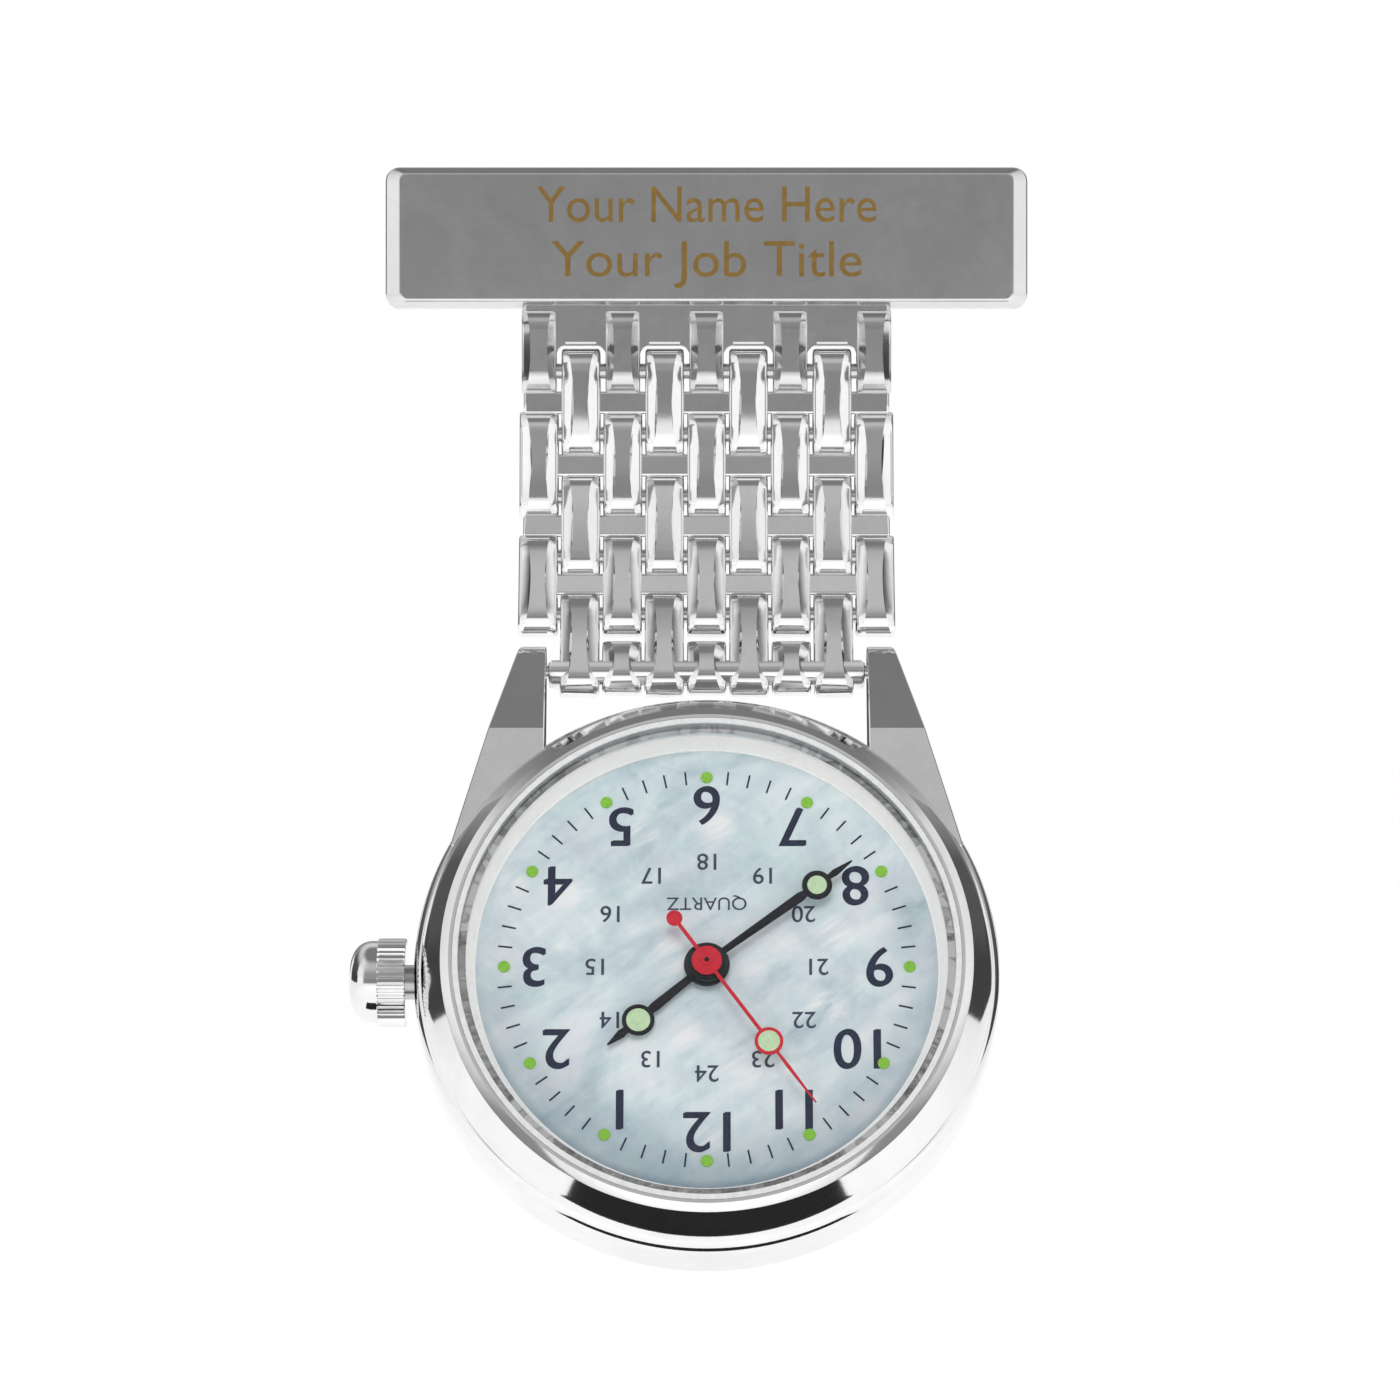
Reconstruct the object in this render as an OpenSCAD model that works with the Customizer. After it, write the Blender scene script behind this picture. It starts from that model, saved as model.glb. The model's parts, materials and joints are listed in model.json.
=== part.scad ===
// Fob watch: a name bar brooch, a five-part comb link bracelet and an upside-down quartz watch head.
// X runs to the wearer's left, Y runs into the cloth and Z runs up. Millimetres.
// The origin is on the axis of the brooch pin, halfway along it.

/* [Name bar] */
// Length of the name bar
bar_length = 36.5; // [32:0.5:50]
// Height of the name bar
bar_height = 8.0; // [7:0.1:12]
// Thickness of the name bar
bar_thickness = 1.6; // [1.2:0.1:2.4]
// Gap between the pin's axis and the back of the bar
pin_standoff = 2.4; // [2.4:0.1:3.4]

/* [Brooch pin] */
// Radius of the pin stem where it holds the cloth
stem_r = 0.40; // [0.3:0.05:0.5]
// Length of the pin stem at its full radius
stem_length = 24.0; // [18:0.5:24]
// Radius of the hinge rivet
rivet_r = 0.40; // [0.3:0.05:0.5]

/* [Bracelet] */
// Distance from one link pin to the next
pin_pitch = 3.6; // [3.5:0.05:4.6]
// Distance from one column of link fingers to the next
column_pitch = 2.38; // [2.2:0.01:2.9]
// Width of one link finger
finger_width = 1.95; // [1.5:0.05:2.05]
// Half the thickness of a link finger
finger_r = 1.1; // [0.9:0.05:1.2]
// Radius of a link pin
link_pin_r = 0.45; // [0.3:0.05:0.5]
// Reach of a finger past the axis of its pin
finger_reach = 1.3; // [1.2:0.05:1.35]

/* [Case] */
// Thickness of the case wall around the movement
case_wall = 2.95; // [2.8:0.05:4]
// Height of the middle case
case_height = 4.7; // [4.7:0.1:5.6]
// Distance from the case wall to the spring bar's axis
lug_reach = 2.6; // [1.8:0.1:3.4]
// Thickness of the case back's plate
back_thickness = 0.9; // [0.8:0.05:1.2]
// Height of the bezel above the middle case
bezel_height = 2.2; // [2.2:0.1:3]
// Height of the crystal's dome above its edge
crystal_dome = 0.6; // [0.2:0.1:1.2]

/* [Movement] */
// Radius of the quartz movement's main plate
movement_r = 11.1; // [9.5:0.1:14]
// Width of the holder ring around the movement
holder_width = 1.85; // [1.2:0.05:3]

/* [Crown] */
// Outer radius of the crown
crown_r = 2.4; // [2:0.1:2.6]
// Length of the crown's fluted rim
crown_rim = 1.55; // [1.4:0.05:2.4]
// Length of the crown's domed cap
crown_dome = 1.6; // [0.8:0.1:2]
// Travel of the crown when it is pulled to set the time
crown_travel = 1.0; // [0.6:0.1:1.2]

/* [Fits] */
// Radial clearance of a shaft that turns in a hole
running_gap = 0.05; // [0.03:0.01:0.08]
// Gap between parts that move past each other
moving_gap = 0.15; // [0.1:0.01:0.2]

/* [Hang and time] */
// Lean of the first link row from plumb, in degrees
row_1_lean = 0; // [0:1:15]
// Lean of the second link row
row_2_lean = 6; // [0:1:20]
// Lean of the third link row
row_3_lean = 17; // [0:1:25]
// Lean of the fourth link row
row_4_lean = 24; // [0:1:30]
// Lean of the end link
end_link_lean = 27; // [0:1:35]
// Lean of the watch head
head_lean = 22; // [0:1:40]
// Hour on the dial
shown_hour = 1; // [0:1:11]
// Minute on the dial
shown_minute = 38; // [0:1:59]
// Second on the dial
shown_second = 54; // [0:1:59]

/* [Hidden] */
$fn = 64;

// ---- Brooch ----
bar_corner_r = 0.8;
bar_bevel = 0.7;
bar_bevel_depth = 0.5;
bar_drop = 1.0;
bar_back_y = -pin_standoff;
bar_mid_y = bar_back_y - bar_thickness / 2;
bar_bottom_z = -bar_drop - bar_height / 2;
hinge_x = -stem_length / 2 - 1.5;
knuckle_r = 0.9;
knuckle_height = 1.5;
ear_thickness = 0.6;
ear_gap = 0.1;
foot_thickness = 0.5;
stem_collar_r = stem_r + 0.25;
tip_r = stem_r - 0.15;
catch_x = stem_length / 2 + 1.7;
catch_length = 1.5;
flange_length = 0.4;
barrel_r = 1.2;
flange_r = 1.6;
post_r = 1.7;
tab_reach = 2.1;
barrel_bore_r = stem_r + 0.1;

// ---- Bracelet ----
lean = [row_1_lean, row_2_lean, row_3_lean, row_4_lean, end_link_lean, head_lean];
ODD_COLUMNS = [-4, -2, 0, 2, 4];
EVEN_COLUMNS = [-3, -1, 1, 3];
web_height = pin_pitch - 2 * (finger_reach + moving_gap);
web_depth = 1.3;
web_half = 4 * column_pitch + finger_width / 2 - 0.1;
finger_half_length = pin_pitch / 2 + finger_reach;
first_pin_drop = 3.6;
first_pin = [0, bar_mid_y, bar_bottom_z - first_pin_drop];
lug_gap_half = 3 * column_pitch + finger_width / 2 + 0.885;
end_link_half = lug_gap_half - moving_gap;

// ---- Spring bar ----
bar_tube_r = 0.65;
bar_tube_bore_r = 0.42;
bar_tip_r = 0.38;
bar_tip_into_lug = 0.9;
bar_tip_into_tube = 1.2;
bar_tube_half = lug_gap_half - 0.3;

// ---- Watch head, heights above the outer face of the case back ----
cavity_r = movement_r + holder_width + 0.1;
case_r = cavity_r + case_wall;
case_bottom_z = 0.6;
case_top_z = case_bottom_z + case_height;
upstand_r = cavity_r + 1.05;
upstand_height = 1.25;
dial_seat_z = case_top_z - 0.25;
dial_bore_r = cavity_r + 0.3;
rear_bore_r = cavity_r + 0.65;
rear_bore_z = back_thickness + 1.0;
rim_width = 0.5;
spring_bar_y = case_r + lug_reach;
spring_bar_z = 2.4;
dial_thickness = 0.4;
dial_top_z = dial_seat_z + dial_thickness;
crystal_seat_z = case_top_z + bezel_height - 0.5;
crystal_r = cavity_r + 0.45;
crystal_edge = 0.55;
gasket_r = crystal_r + 0.3;
ledge_r = cavity_r;
rehaut_bottom_r = cavity_r - 0.45;
bezel_r = case_r - 0.44;
bezel_top_z = case_top_z + bezel_height;
lug_tip_r = 1.4;
lug_outer_tip_x = lug_gap_half + 1.4;

// ---- Hands ----
hour_hand_z = dial_top_z + 0.30;
minute_hand_z = dial_top_z + 0.65;
second_hand_z = dial_top_z + 1.00;
hand_thickness = 0.15;
minute_hand_length = 0.786 * rehaut_bottom_r;
hour_hand_length = 0.563 * rehaut_bottom_r;
second_hand_length = 0.794 * rehaut_bottom_r;
hour_angle = 30 * shown_hour + shown_minute / 2;
minute_angle = 6 * shown_minute + shown_second / 10;
second_angle = 6 * shown_second;
dot_circle_r = 0.876 * rehaut_bottom_r;
hour_pipe_r = 0.80;
minute_pipe_r = 0.46;

// ---- Movement: plan positions keep their pattern when the plate's radius changes ----
plan = movement_r / 11.1;
THIRD_DISTANCE = 3.4 * plan;
FIFTH_DISTANCE = 2.88 * plan;
ROTOR_DISTANCE = 2.31 * plan;
MOTION_DISTANCE = 2.6 * plan;
third_angle = 120;
fifth_angle = -60;
rotor_angle = -20;
motion_angle = 30;
third_at = polar(THIRD_DISTANCE, third_angle);
fifth_at = polar(FIFTH_DISTANCE, fifth_angle);
rotor_at = fifth_at + polar(ROTOR_DISTANCE, rotor_angle);
motion_at = polar(MOTION_DISTANCE, motion_angle);
battery_at = [5.9, 4.4] * plan;
battery_r = 3.4 * plan;
battery_height = 2.0;
clamp_foot_at = [1.2, 8.2] * plan;
PILLARS = [[-5.6, 5.4] * plan, [4.9, -0.4] * plan, [-2.4, -4.6] * plan];
pillar_r = 0.7;
screw_r = 0.3;
screw_head_r = 0.65;
coil_at = [0.8, -8.2] * plan;
coil_length = 6.8 * plan;
core_length = 11.0 * plan;
coil_r = 0.95;
stator_ring_r = 1.7 * plan;
magnet_r = 0.75 * plan;
pivot_r = 0.10;
motion_post_r = 0.2;
arbor_r = 0.15;

// Heights in the movement
bridge_z = 1.3;
bridge_thickness = 0.5;
plate_z = dial_seat_z - 1.55;
plate_top_z = dial_seat_z - 0.05;
recess_z = plate_z + 0.6;
holder_z = back_thickness + 0.1;
stem_z = 2.9;

// Distances along the winding stem from the middle of the watch
crown_face = case_r + 0.45;
crown_end = crown_face + crown_rim;
tube_start = cavity_r + 0.15;
tube_end = crown_face + crown_travel + 0.15;
tube_r = 0.95;
tube_bore_r = 0.65;
winding_stem_r = 0.55;
crown_bore_r = 1.3;
crown_bore_end = tube_end + 0.3;
stem_inner_end = 5.9 * plan;
groove_start = 6.5 * plan;
groove_width = 0.6;
groove_r = 0.35;
pinion_start = 8.1 * plan;
pinion_length = 0.9;
FLUTES = 40;
FLUTE_DEPTH = 0.14;

// ---- Shared shapes ----
function polar(r, angle) = [r * cos(angle), r * sin(angle)];

// Points along an arc, both ends included
function arc(centre, r, from, to, steps) =
    [for (i = [0 : steps]) centre + polar(r, from + (to - from) * i / steps)];

// Outline with two round ends, long way up
function stadium(half_length, r) = concat(
    arc([0, half_length - r], r, 0, 180, 12),
    arc([0, r - half_length], r, 180, 360, 12)
);

// Outline of a toothed wheel: each tooth has a foot and a tip on both flanks
function gear_outline(teeth, size, phase) = [
    for (i = [0 : teeth - 1])
        for (flank = [[-0.29, -1.05], [-0.12, 0.8], [0.12, 0.8], [0.29, -1.05]])
            polar(size * (teeth / 2 + flank[1]), phase + 360 / teeth * (i + flank[0]))
];

// Phase of a wheel's teeth that makes them mesh with a wheel seen in the given direction
function meshed(direction, phase, teeth, own_teeth) =
    direction + 180 + (0.5 - (phase - direction) * teeth / 360) * 360 / own_teeth;

// Axis of link pin k, counted from 0 at the brooch
function pin_point(k) = k == 0 ? first_pin
    : pin_point(k - 1) + pin_pitch * [0, -sin(lean[k - 1]), -cos(lean[k - 1])];

// Extrudes an outline in the YZ plane along X
module along_x(length) {
    rotate([90, 0, 90])
        linear_extrude(length, center = true)
            children();
}

// A rod along X between two places
module rod_x(r, from, to) {
    translate([from, 0, 0])
        rotate([0, 90, 0])
            cylinder(r = r, h = to - from);
}

// A hollow ring on the Z axis
module ring(outer_r, inner_r, z, height) {
    translate([0, 0, z])
        difference() {
            cylinder(r = outer_r, h = height);
            translate([0, 0, -1])
                cylinder(r = inner_r, h = height + 2);
        }
}

// A disc at a place in the XY plane
module disc(at, r, z, height) {
    translate([at[0], at[1], z])
        cylinder(r = r, h = height);
}

// A flat arm with round ends between two places, as an outline
module arm(from, to, width) {
    reach = to - from;
    translate(from)
        circle(d = width);
    translate(to)
        circle(d = width);
    translate((from + to) / 2)
        rotate(atan2(reach[1], reach[0]))
            square([norm(reach), width * 0.98], center = true);
}

// A toothed wheel at a place
module gear(at, teeth, size, phase, z, height) {
    translate([at[0], at[1], z])
        linear_extrude(height)
            polygon(gear_outline(teeth, size, phase));
}

// Places a piece on link pin k, leaning as the piece below that pin does
module hung_from(k) {
    translate(pin_point(k))
        rotate([-lean[k], 0, 0])
            children();
}

// Places a piece of the watch head: its Z runs from the case back to the crystal, its Y to six o'clock
module in_head() {
    hung_from(5)
        translate([0, spring_bar_z, -spring_bar_y])
            rotate([90, 0, 0])
                children();
}

// Places a piece on the winding stem's axis, its X running to the crown
module on_stem() {
    in_head()
        translate([0, 0, stem_z])
            rotate([0, 0, 180])
                children();
}

// Turns a hand that points to six o'clock to an angle counted clockwise from twelve
module at_time(angle) {
    in_head()
        rotate([0, 0, 180 - angle])
            children();
}

// ---- Brooch ----
// Outline of the bar's front with round corners
function bar_face() = let(x = bar_length / 2 - bar_corner_r, z = bar_height / 2 - bar_corner_r) concat(
    arc([x, z], bar_corner_r, 0, 90, 6),
    arc([-x, z], bar_corner_r, 90, 180, 6),
    arc([-x, -z], bar_corner_r, 180, 270, 6),
    arc([x, -z], bar_corner_r, 270, 360, 6)
);

// Section of the bar across one direction, bevelled towards its front
function bevelled(half) = [
    [-half, bar_thickness / 2],
    [-half, bar_bevel_depth - bar_thickness / 2],
    [bar_bevel - half, -bar_thickness / 2],
    [half - bar_bevel, -bar_thickness / 2],
    [half, bar_bevel_depth - bar_thickness / 2],
    [half, bar_thickness / 2]
];

module name_bar() {
    translate([0, bar_mid_y, -bar_drop])
        intersection() {
            rotate([90, 0, 0])
                linear_extrude(bar_thickness, center = true)
                    polygon(bar_face());
            linear_extrude(bar_height + 1, center = true)
                polygon(bevelled(bar_length / 2));
            along_x(bar_length + 1)
                polygon([for (p = bevelled(bar_height / 2)) [p[1], p[0]]]);
        }
}

module brooch_plate() {
    skirt_height = first_pin_drop - finger_reach - moving_gap + 0.3;
    prong_half = (first_pin_drop + finger_reach) / 2;
    color("silver")
        union() {
            name_bar();
            translate([0, bar_mid_y, bar_bottom_z - skirt_height / 2 + 0.3])
                cube([2 * web_half, 1.0, skirt_height], center = true);
            difference() {
                for (column = ODD_COLUMNS)
                    translate([column * column_pitch, bar_mid_y, bar_bottom_z - prong_half])
                        along_x(finger_width)
                            polygon(stadium(prong_half, finger_r));
                translate(first_pin)
                    rod_x(link_pin_r, -web_half - 1, web_half + 1);
            }
        }
}

module hinge_bracket() {
    color("silver")
        translate([hinge_x, 0, 0])
            difference() {
                union() {
                    translate([-2.3, bar_back_y, -1.9])
                        cube([4.0, foot_thickness, 3.8]);
                    for (side = [-1, 1]) {
                        ear_z = side * (knuckle_height / 2 + ear_gap + ear_thickness / 2);
                        translate([-0.9, bar_back_y + 0.2, ear_z - ear_thickness / 2])
                            cube([1.8, pin_standoff - 0.2, ear_thickness]);
                        translate([0, 0, ear_z])
                            cylinder(r = 1.0, h = ear_thickness, center = true);
                    }
                }
                cylinder(r = rivet_r, h = 6, center = true);
            }
}

module hinge_rivet() {
    rivet_half = knuckle_height / 2 + ear_gap + ear_thickness;
    color("silver")
        translate([hinge_x, 0, 0]) {
            cylinder(r = rivet_r, h = 2 * rivet_half, center = true);
            for (side = [-1, 1])
                translate([0, 0, side * (rivet_half + 0.15)])
                    cylinder(r = rivet_r + 0.3, h = 0.3, center = true);
        }
}

module pin_stem() {
    point_start = catch_x + catch_length / 2 + flange_length;
    color("silver")
        difference() {
            union() {
                translate([hinge_x, 0, 0])
                    cylinder(r = knuckle_r, h = knuckle_height, center = true);
                rod_x(stem_collar_r, hinge_x + rivet_r + 0.1, -stem_length / 2);
                rod_x(stem_r, -stem_length / 2, stem_length / 2);
                translate([stem_length / 2, 0, 0])
                    rotate([0, 90, 0])
                        cylinder(r1 = stem_r, r2 = tip_r, h = point_start - stem_length / 2);
                translate([point_start, 0, 0])
                    rotate([0, 90, 0])
                        cylinder(r1 = tip_r, r2 = 0.04, h = 1.2);
            }
            translate([hinge_x, 0, 0])
                cylinder(r = rivet_r + running_gap, h = 4, center = true);
        }
}

module catch_post() {
    color("silver")
        translate([catch_x, 0, 0])
            difference() {
                union() {
                    rod_x(post_r, -catch_length / 2, catch_length / 2);
                    translate([-catch_length / 2, bar_back_y, -1.3])
                        cube([catch_length, pin_standoff, 2.6]);
                }
                rod_x(barrel_r + running_gap, -2, 2);
                translate([-2, 0, -0.75])
                    cube([4, 3, 1.5]);
            }
}

module catch_collar() {
    barrel_half = catch_length / 2 + 0.05;
    slot = 2 * stem_r + 0.16;
    color("gainsboro")
        translate([catch_x, 0, 0])
            difference() {
                union() {
                    rod_x(barrel_r, -barrel_half, barrel_half);
                    rod_x(flange_r, -barrel_half - flange_length, -barrel_half);
                    rod_x(flange_r, barrel_half, barrel_half + flange_length);
                    translate([barrel_half, -0.4, 1.0])
                        cube([flange_length, 0.8, tab_reach - 1.0]);
                }
                rod_x(barrel_bore_r, -3, 3);
                translate([-3, 0, -slot / 2])
                    cube([6, 3, slot]);
            }
}

// ---- Bracelet ----
module fingers(columns) {
    for (column = columns)
        translate([column * column_pitch, 0, -pin_pitch / 2])
            along_x(finger_width)
                polygon(stadium(finger_half_length, finger_r));
}

// A row of fingers joined by a web, with a running hole above and a tight hole below
module link_row(k, columns) {
    color("silver")
        hung_from(k)
            difference() {
                union() {
                    fingers(columns);
                    translate([0, 0, -pin_pitch / 2])
                        cube([2 * web_half, web_depth, web_height], center = true);
                }
                rod_x(link_pin_r + running_gap, -web_half - 1, web_half + 1);
                translate([0, 0, -pin_pitch])
                    rod_x(link_pin_r, -web_half - 1, web_half + 1);
            }
}

module end_link() {
    color("silver")
        hung_from(4)
            difference() {
                union() {
                    fingers(EVEN_COLUMNS);
                    translate([0, 0, -pin_pitch / 2])
                        along_x(2 * end_link_half)
                            polygon(concat(
                                [[finger_r, web_height / 2], [-finger_r, web_height / 2]],
                                arc([0, finger_r - finger_half_length], finger_r, 180, 360, 12)
                            ));
                }
                rod_x(link_pin_r + running_gap, -web_half - 1, web_half + 1);
                translate([0, 0, -pin_pitch])
                    rod_x(bar_tube_r + running_gap, -web_half - 1, web_half + 1);
            }
}

module link_pin(k) {
    color("gainsboro")
        translate(pin_point(k))
            rotate([k == 0 ? 0 : -lean[k - 1], 0, 0])
                rod_x(link_pin_r, 0.05 - web_half, web_half - 0.05);
}

// ---- Spring bar ----
module on_spring_bar() {
    in_head()
        translate([0, spring_bar_y, spring_bar_z])
            children();
}

module spring_bar_tube() {
    color("gainsboro")
        on_spring_bar()
            difference() {
                rod_x(bar_tube_r, -bar_tube_half, bar_tube_half);
                rod_x(bar_tube_bore_r, -bar_tube_half - 1, bar_tube_half + 1);
            }
}

module spring_bar_tips() {
    color("silver")
        on_spring_bar()
            for (side = [0, 180])
                rotate([0, 0, side])
                    rod_x(bar_tip_r, bar_tube_half - bar_tip_into_tube, lug_gap_half + bar_tip_into_lug);
}

// Points of one ring of a coil's wire, at a step along the coil
function wire_ring(step, steps_a_turn, pitch, coil_radius, wire_r) =
    let(angle = 360 * step / steps_a_turn)
    [for (side = [0 : 4])
        let(out = coil_radius + wire_r * cos(72 * side))
        [pitch * step / steps_a_turn + wire_r * sin(72 * side), out * cos(angle), out * sin(angle)]];

module spring_bar_spring() {
    turns = 9;
    steps_a_turn = 12;
    steps = turns * steps_a_turn;
    wire_r = 0.07;
    half = bar_tube_half - bar_tip_into_tube - wire_r - 0.02;
    rings = [for (s = [0 : steps]) wire_ring(s, steps_a_turn, 2 * half / turns, 0.3, wire_r)];
    points = [for (r = rings) each r];
    skin = [for (s = [0 : steps - 1]) for (side = [0 : 4])
        let(a = 5 * s + side, b = 5 * s + (side + 1) % 5)
        each [[a, b, b + 5], [a, b + 5, a + 5]]];
    ends = [[4, 3, 2, 1, 0], [for (side = [0 : 4]) 5 * steps + side]];
    color("gray")
        on_spring_bar()
            translate([-half, 0, 0])
                polyhedron(points, concat(skin, ends));
}

// ---- Case ----
// One lug, on the positive side of X: its plan cut to its side view
module lug() {
    corner = 0.3;
    tip_y = spring_bar_y + lug_tip_r;
    intersection() {
        linear_extrude(case_top_z)
            polygon([
                [lug_gap_half, case_r * 0.75],
                polar(case_r - 0.8, 30),
                polar(case_r - 0.02, 30),
                [lug_outer_tip_x, tip_y - corner],
                [lug_outer_tip_x - corner, tip_y],
                [lug_gap_half + corner / 2, tip_y],
                [lug_gap_half, tip_y - corner / 2]
            ]);
        along_x(4 * case_r)
            polygon(concat(
                [[0, case_bottom_z + 0.3], [spring_bar_y - 1.5, case_bottom_z + 0.3]],
                arc([spring_bar_y, spring_bar_z], lug_tip_r, -75, 70, 12),
                [[spring_bar_y - 4.5, case_top_z - 0.1], [0, case_top_z - 0.1]]
            ));
    }
}

module mid_case() {
    color("silver")
        in_head()
            difference() {
                union() {
                    rotate_extrude()
                        polygon([
                            [rear_bore_r, case_bottom_z],
                            [case_r - 0.8, case_bottom_z],
                            [case_r, case_bottom_z + 0.8],
                            [case_r, case_top_z - 0.8],
                            [case_r - 0.3, case_top_z],
                            [upstand_r, case_top_z],
                            [upstand_r, case_top_z + upstand_height],
                            [dial_bore_r, case_top_z + upstand_height],
                            [dial_bore_r, dial_seat_z],
                            [cavity_r, dial_seat_z],
                            [cavity_r, rear_bore_z],
                            [rear_bore_r, rear_bore_z]
                        ]);
                    lug();
                    mirror([1, 0, 0])
                        lug();
                }
                translate([0, spring_bar_y, spring_bar_z])
                    rod_x(bar_tip_r + running_gap, -lug_gap_half - 1, lug_gap_half + 1);
                translate([0, 0, stem_z])
                    rod_x(tube_r, -case_r - 1, -cavity_r + 1);
            }
}

module crown_tube() {
    color("gainsboro")
        on_stem()
            difference() {
                rod_x(tube_r, tube_start, tube_end);
                rod_x(tube_bore_r, tube_start - 1, tube_end + 1);
            }
}

module case_back() {
    color("lightgray")
        in_head()
            difference() {
                rotate_extrude()
                    polygon([
                        [0, 0],
                        [rear_bore_r + 0.2, 0],
                        [rear_bore_r + 0.8, 0.3],
                        [rear_bore_r + 0.8, case_bottom_z],
                        [rear_bore_r - 0.05, case_bottom_z],
                        [rear_bore_r - 0.05, rear_bore_z - 0.2],
                        [rear_bore_r - 0.05 - rim_width, rear_bore_z - 0.2],
                        [rear_bore_r - 0.05 - rim_width, back_thickness],
                        [0, back_thickness]
                    ]);
                translate([-1.5, -rear_bore_r - 1.8, 0.2])
                    cube([3, 1.3, 1]);
            }
}

module case_back_gasket() {
    color("dimgray")
        in_head()
            ring(rear_bore_r, rear_bore_r - rim_width, rear_bore_z - 0.2, 0.2);
}

module bezel() {
    slope_bottom = case_top_z + 0.35;
    color("silver")
        in_head()
            rotate_extrude()
                polygon([
                    [upstand_r, case_top_z + 0.05],
                    [bezel_r - 0.1, case_top_z + 0.05],
                    [bezel_r, slope_bottom],
                    [bezel_r - 0.35, slope_bottom + 0.25 * bezel_height],
                    [gasket_r + 0.65, bezel_top_z - 0.18],
                    [gasket_r + 0.2, bezel_top_z],
                    [gasket_r, bezel_top_z],
                    [gasket_r, crystal_seat_z],
                    [ledge_r, crystal_seat_z],
                    [ledge_r, case_top_z + upstand_height + 0.05],
                    [upstand_r, case_top_z + upstand_height + 0.05]
                ]);
}

module crystal() {
    shoulder_r = crystal_r - 0.2;
    edge_z = crystal_seat_z + crystal_edge;
    color("aliceblue", 0.4)
        in_head()
            rotate_extrude()
                polygon(concat(
                    [[0, crystal_seat_z], [crystal_r, crystal_seat_z], [crystal_r, edge_z - 0.15]],
                    [for (i = [0 : 8])
                        let(r = shoulder_r * (1 - i / 8))
                        [r, edge_z + crystal_dome * (1 - pow(r / shoulder_r, 2))]]
                ));
}

module crystal_gasket() {
    color("white")
        in_head()
            ring(gasket_r, crystal_r, crystal_seat_z, 0.5);
}

module rehaut_ring() {
    top_z = case_top_z + upstand_height;
    color("white")
        in_head()
            rotate_extrude()
                polygon([
                    [rehaut_bottom_r, dial_top_z],
                    [dial_bore_r - 0.05, dial_top_z],
                    [dial_bore_r - 0.05, top_z],
                    [ledge_r, top_z],
                    [rehaut_bottom_r, dial_top_z + 0.15]
                ]);
}

module dial() {
    color("aliceblue")
        in_head()
            ring(dial_bore_r - 0.1, hour_pipe_r + 0.2, dial_seat_z, dial_thickness);
}

module hour_dots() {
    color("yellowgreen")
        in_head()
            for (hour = [0 : 11])
                disc(polar(dot_circle_r, 30 * hour), 0.33, dial_top_z, 0.1);
}

// ---- Hands: each points along Y from its pipe ----
// Outline of a tapered blade with a round window for the luminous disc
module hand_outline(hub_r, foot_width, length, window_at, rim_r) {
    union() {
        circle(r = hub_r);
        polygon([
            [-foot_width / 2, 0],
            [-foot_width * 0.36, length * 0.93],
            [0, length],
            [foot_width * 0.36, length * 0.93],
            [foot_width / 2, 0]
        ]);
        translate([0, window_at])
            circle(r = rim_r);
    }
}

hour_window_at = 0.69 * hour_hand_length;
minute_window_at = 0.757 * minute_hand_length;
second_window_at = 0.57 * second_hand_length;
hour_lume_r = 0.62;
minute_lume_r = 0.62;
second_lume_r = 0.52;
lume_rim = 0.32;
tail_at = -3.0;

module hour_hand() {
    color("black")
        at_time(hour_angle)
            translate([0, 0, hour_hand_z])
                linear_extrude(hand_thickness)
                    difference() {
                        hand_outline(1.3, 0.95, hour_hand_length, hour_window_at, hour_lume_r + lume_rim);
                        circle(r = hour_pipe_r);
                        translate([0, hour_window_at])
                            circle(r = hour_lume_r);
                    }
}

module hour_hand_lume() {
    color("honeydew")
        at_time(hour_angle)
            disc([0, hour_window_at], hour_lume_r, hour_hand_z, hand_thickness);
}

module minute_hand() {
    color("black")
        at_time(minute_angle)
            translate([0, 0, minute_hand_z])
                linear_extrude(hand_thickness)
                    difference() {
                        hand_outline(
                            1.1, 0.8, minute_hand_length, minute_window_at, minute_lume_r + lume_rim
                        );
                        circle(r = minute_pipe_r);
                        translate([0, minute_window_at])
                            circle(r = minute_lume_r);
                    }
}

module minute_hand_lume() {
    color("honeydew")
        at_time(minute_angle)
            disc([0, minute_window_at], minute_lume_r, minute_hand_z, hand_thickness);
}

module second_hand() {
    color("crimson")
        at_time(second_angle)
            difference() {
                union() {
                    translate([0, 0, second_hand_z])
                        linear_extrude(hand_thickness)
                            difference() {
                                union() {
                                    hand_outline(
                                        0.8, 0.22, second_hand_length, second_window_at,
                                        second_lume_r + 0.2
                                    );
                                    translate([-0.11, tail_at])
                                        square([0.22, -tail_at]);
                                    translate([0, tail_at])
                                        circle(r = 0.45);
                                }
                                translate([0, second_window_at])
                                    circle(r = second_lume_r);
                            }
                    disc([0, 0], 0.32, second_hand_z - 0.12, 0.4);
                }
                disc([0, 0], arbor_r, second_hand_z - 1, 1.1);
            }
}

module second_hand_lume() {
    color("honeydew")
        at_time(second_angle)
            disc([0, second_window_at], second_lume_r, second_hand_z, hand_thickness);
}

// ---- Movement: fixed parts ----
module movement_holder() {
    color("whitesmoke")
        in_head()
            difference() {
                ring(cavity_r - 0.05, movement_r + 0.05, holder_z, dial_seat_z - holder_z);
                ring(cavity_r + 1, rear_bore_r - rim_width - 0.15, holder_z - 1, rear_bore_z - holder_z + 1);
                translate([0, 0, stem_z])
                    rod_x(winding_stem_r + 0.25, -cavity_r - 1, 0);
            }
}

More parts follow.
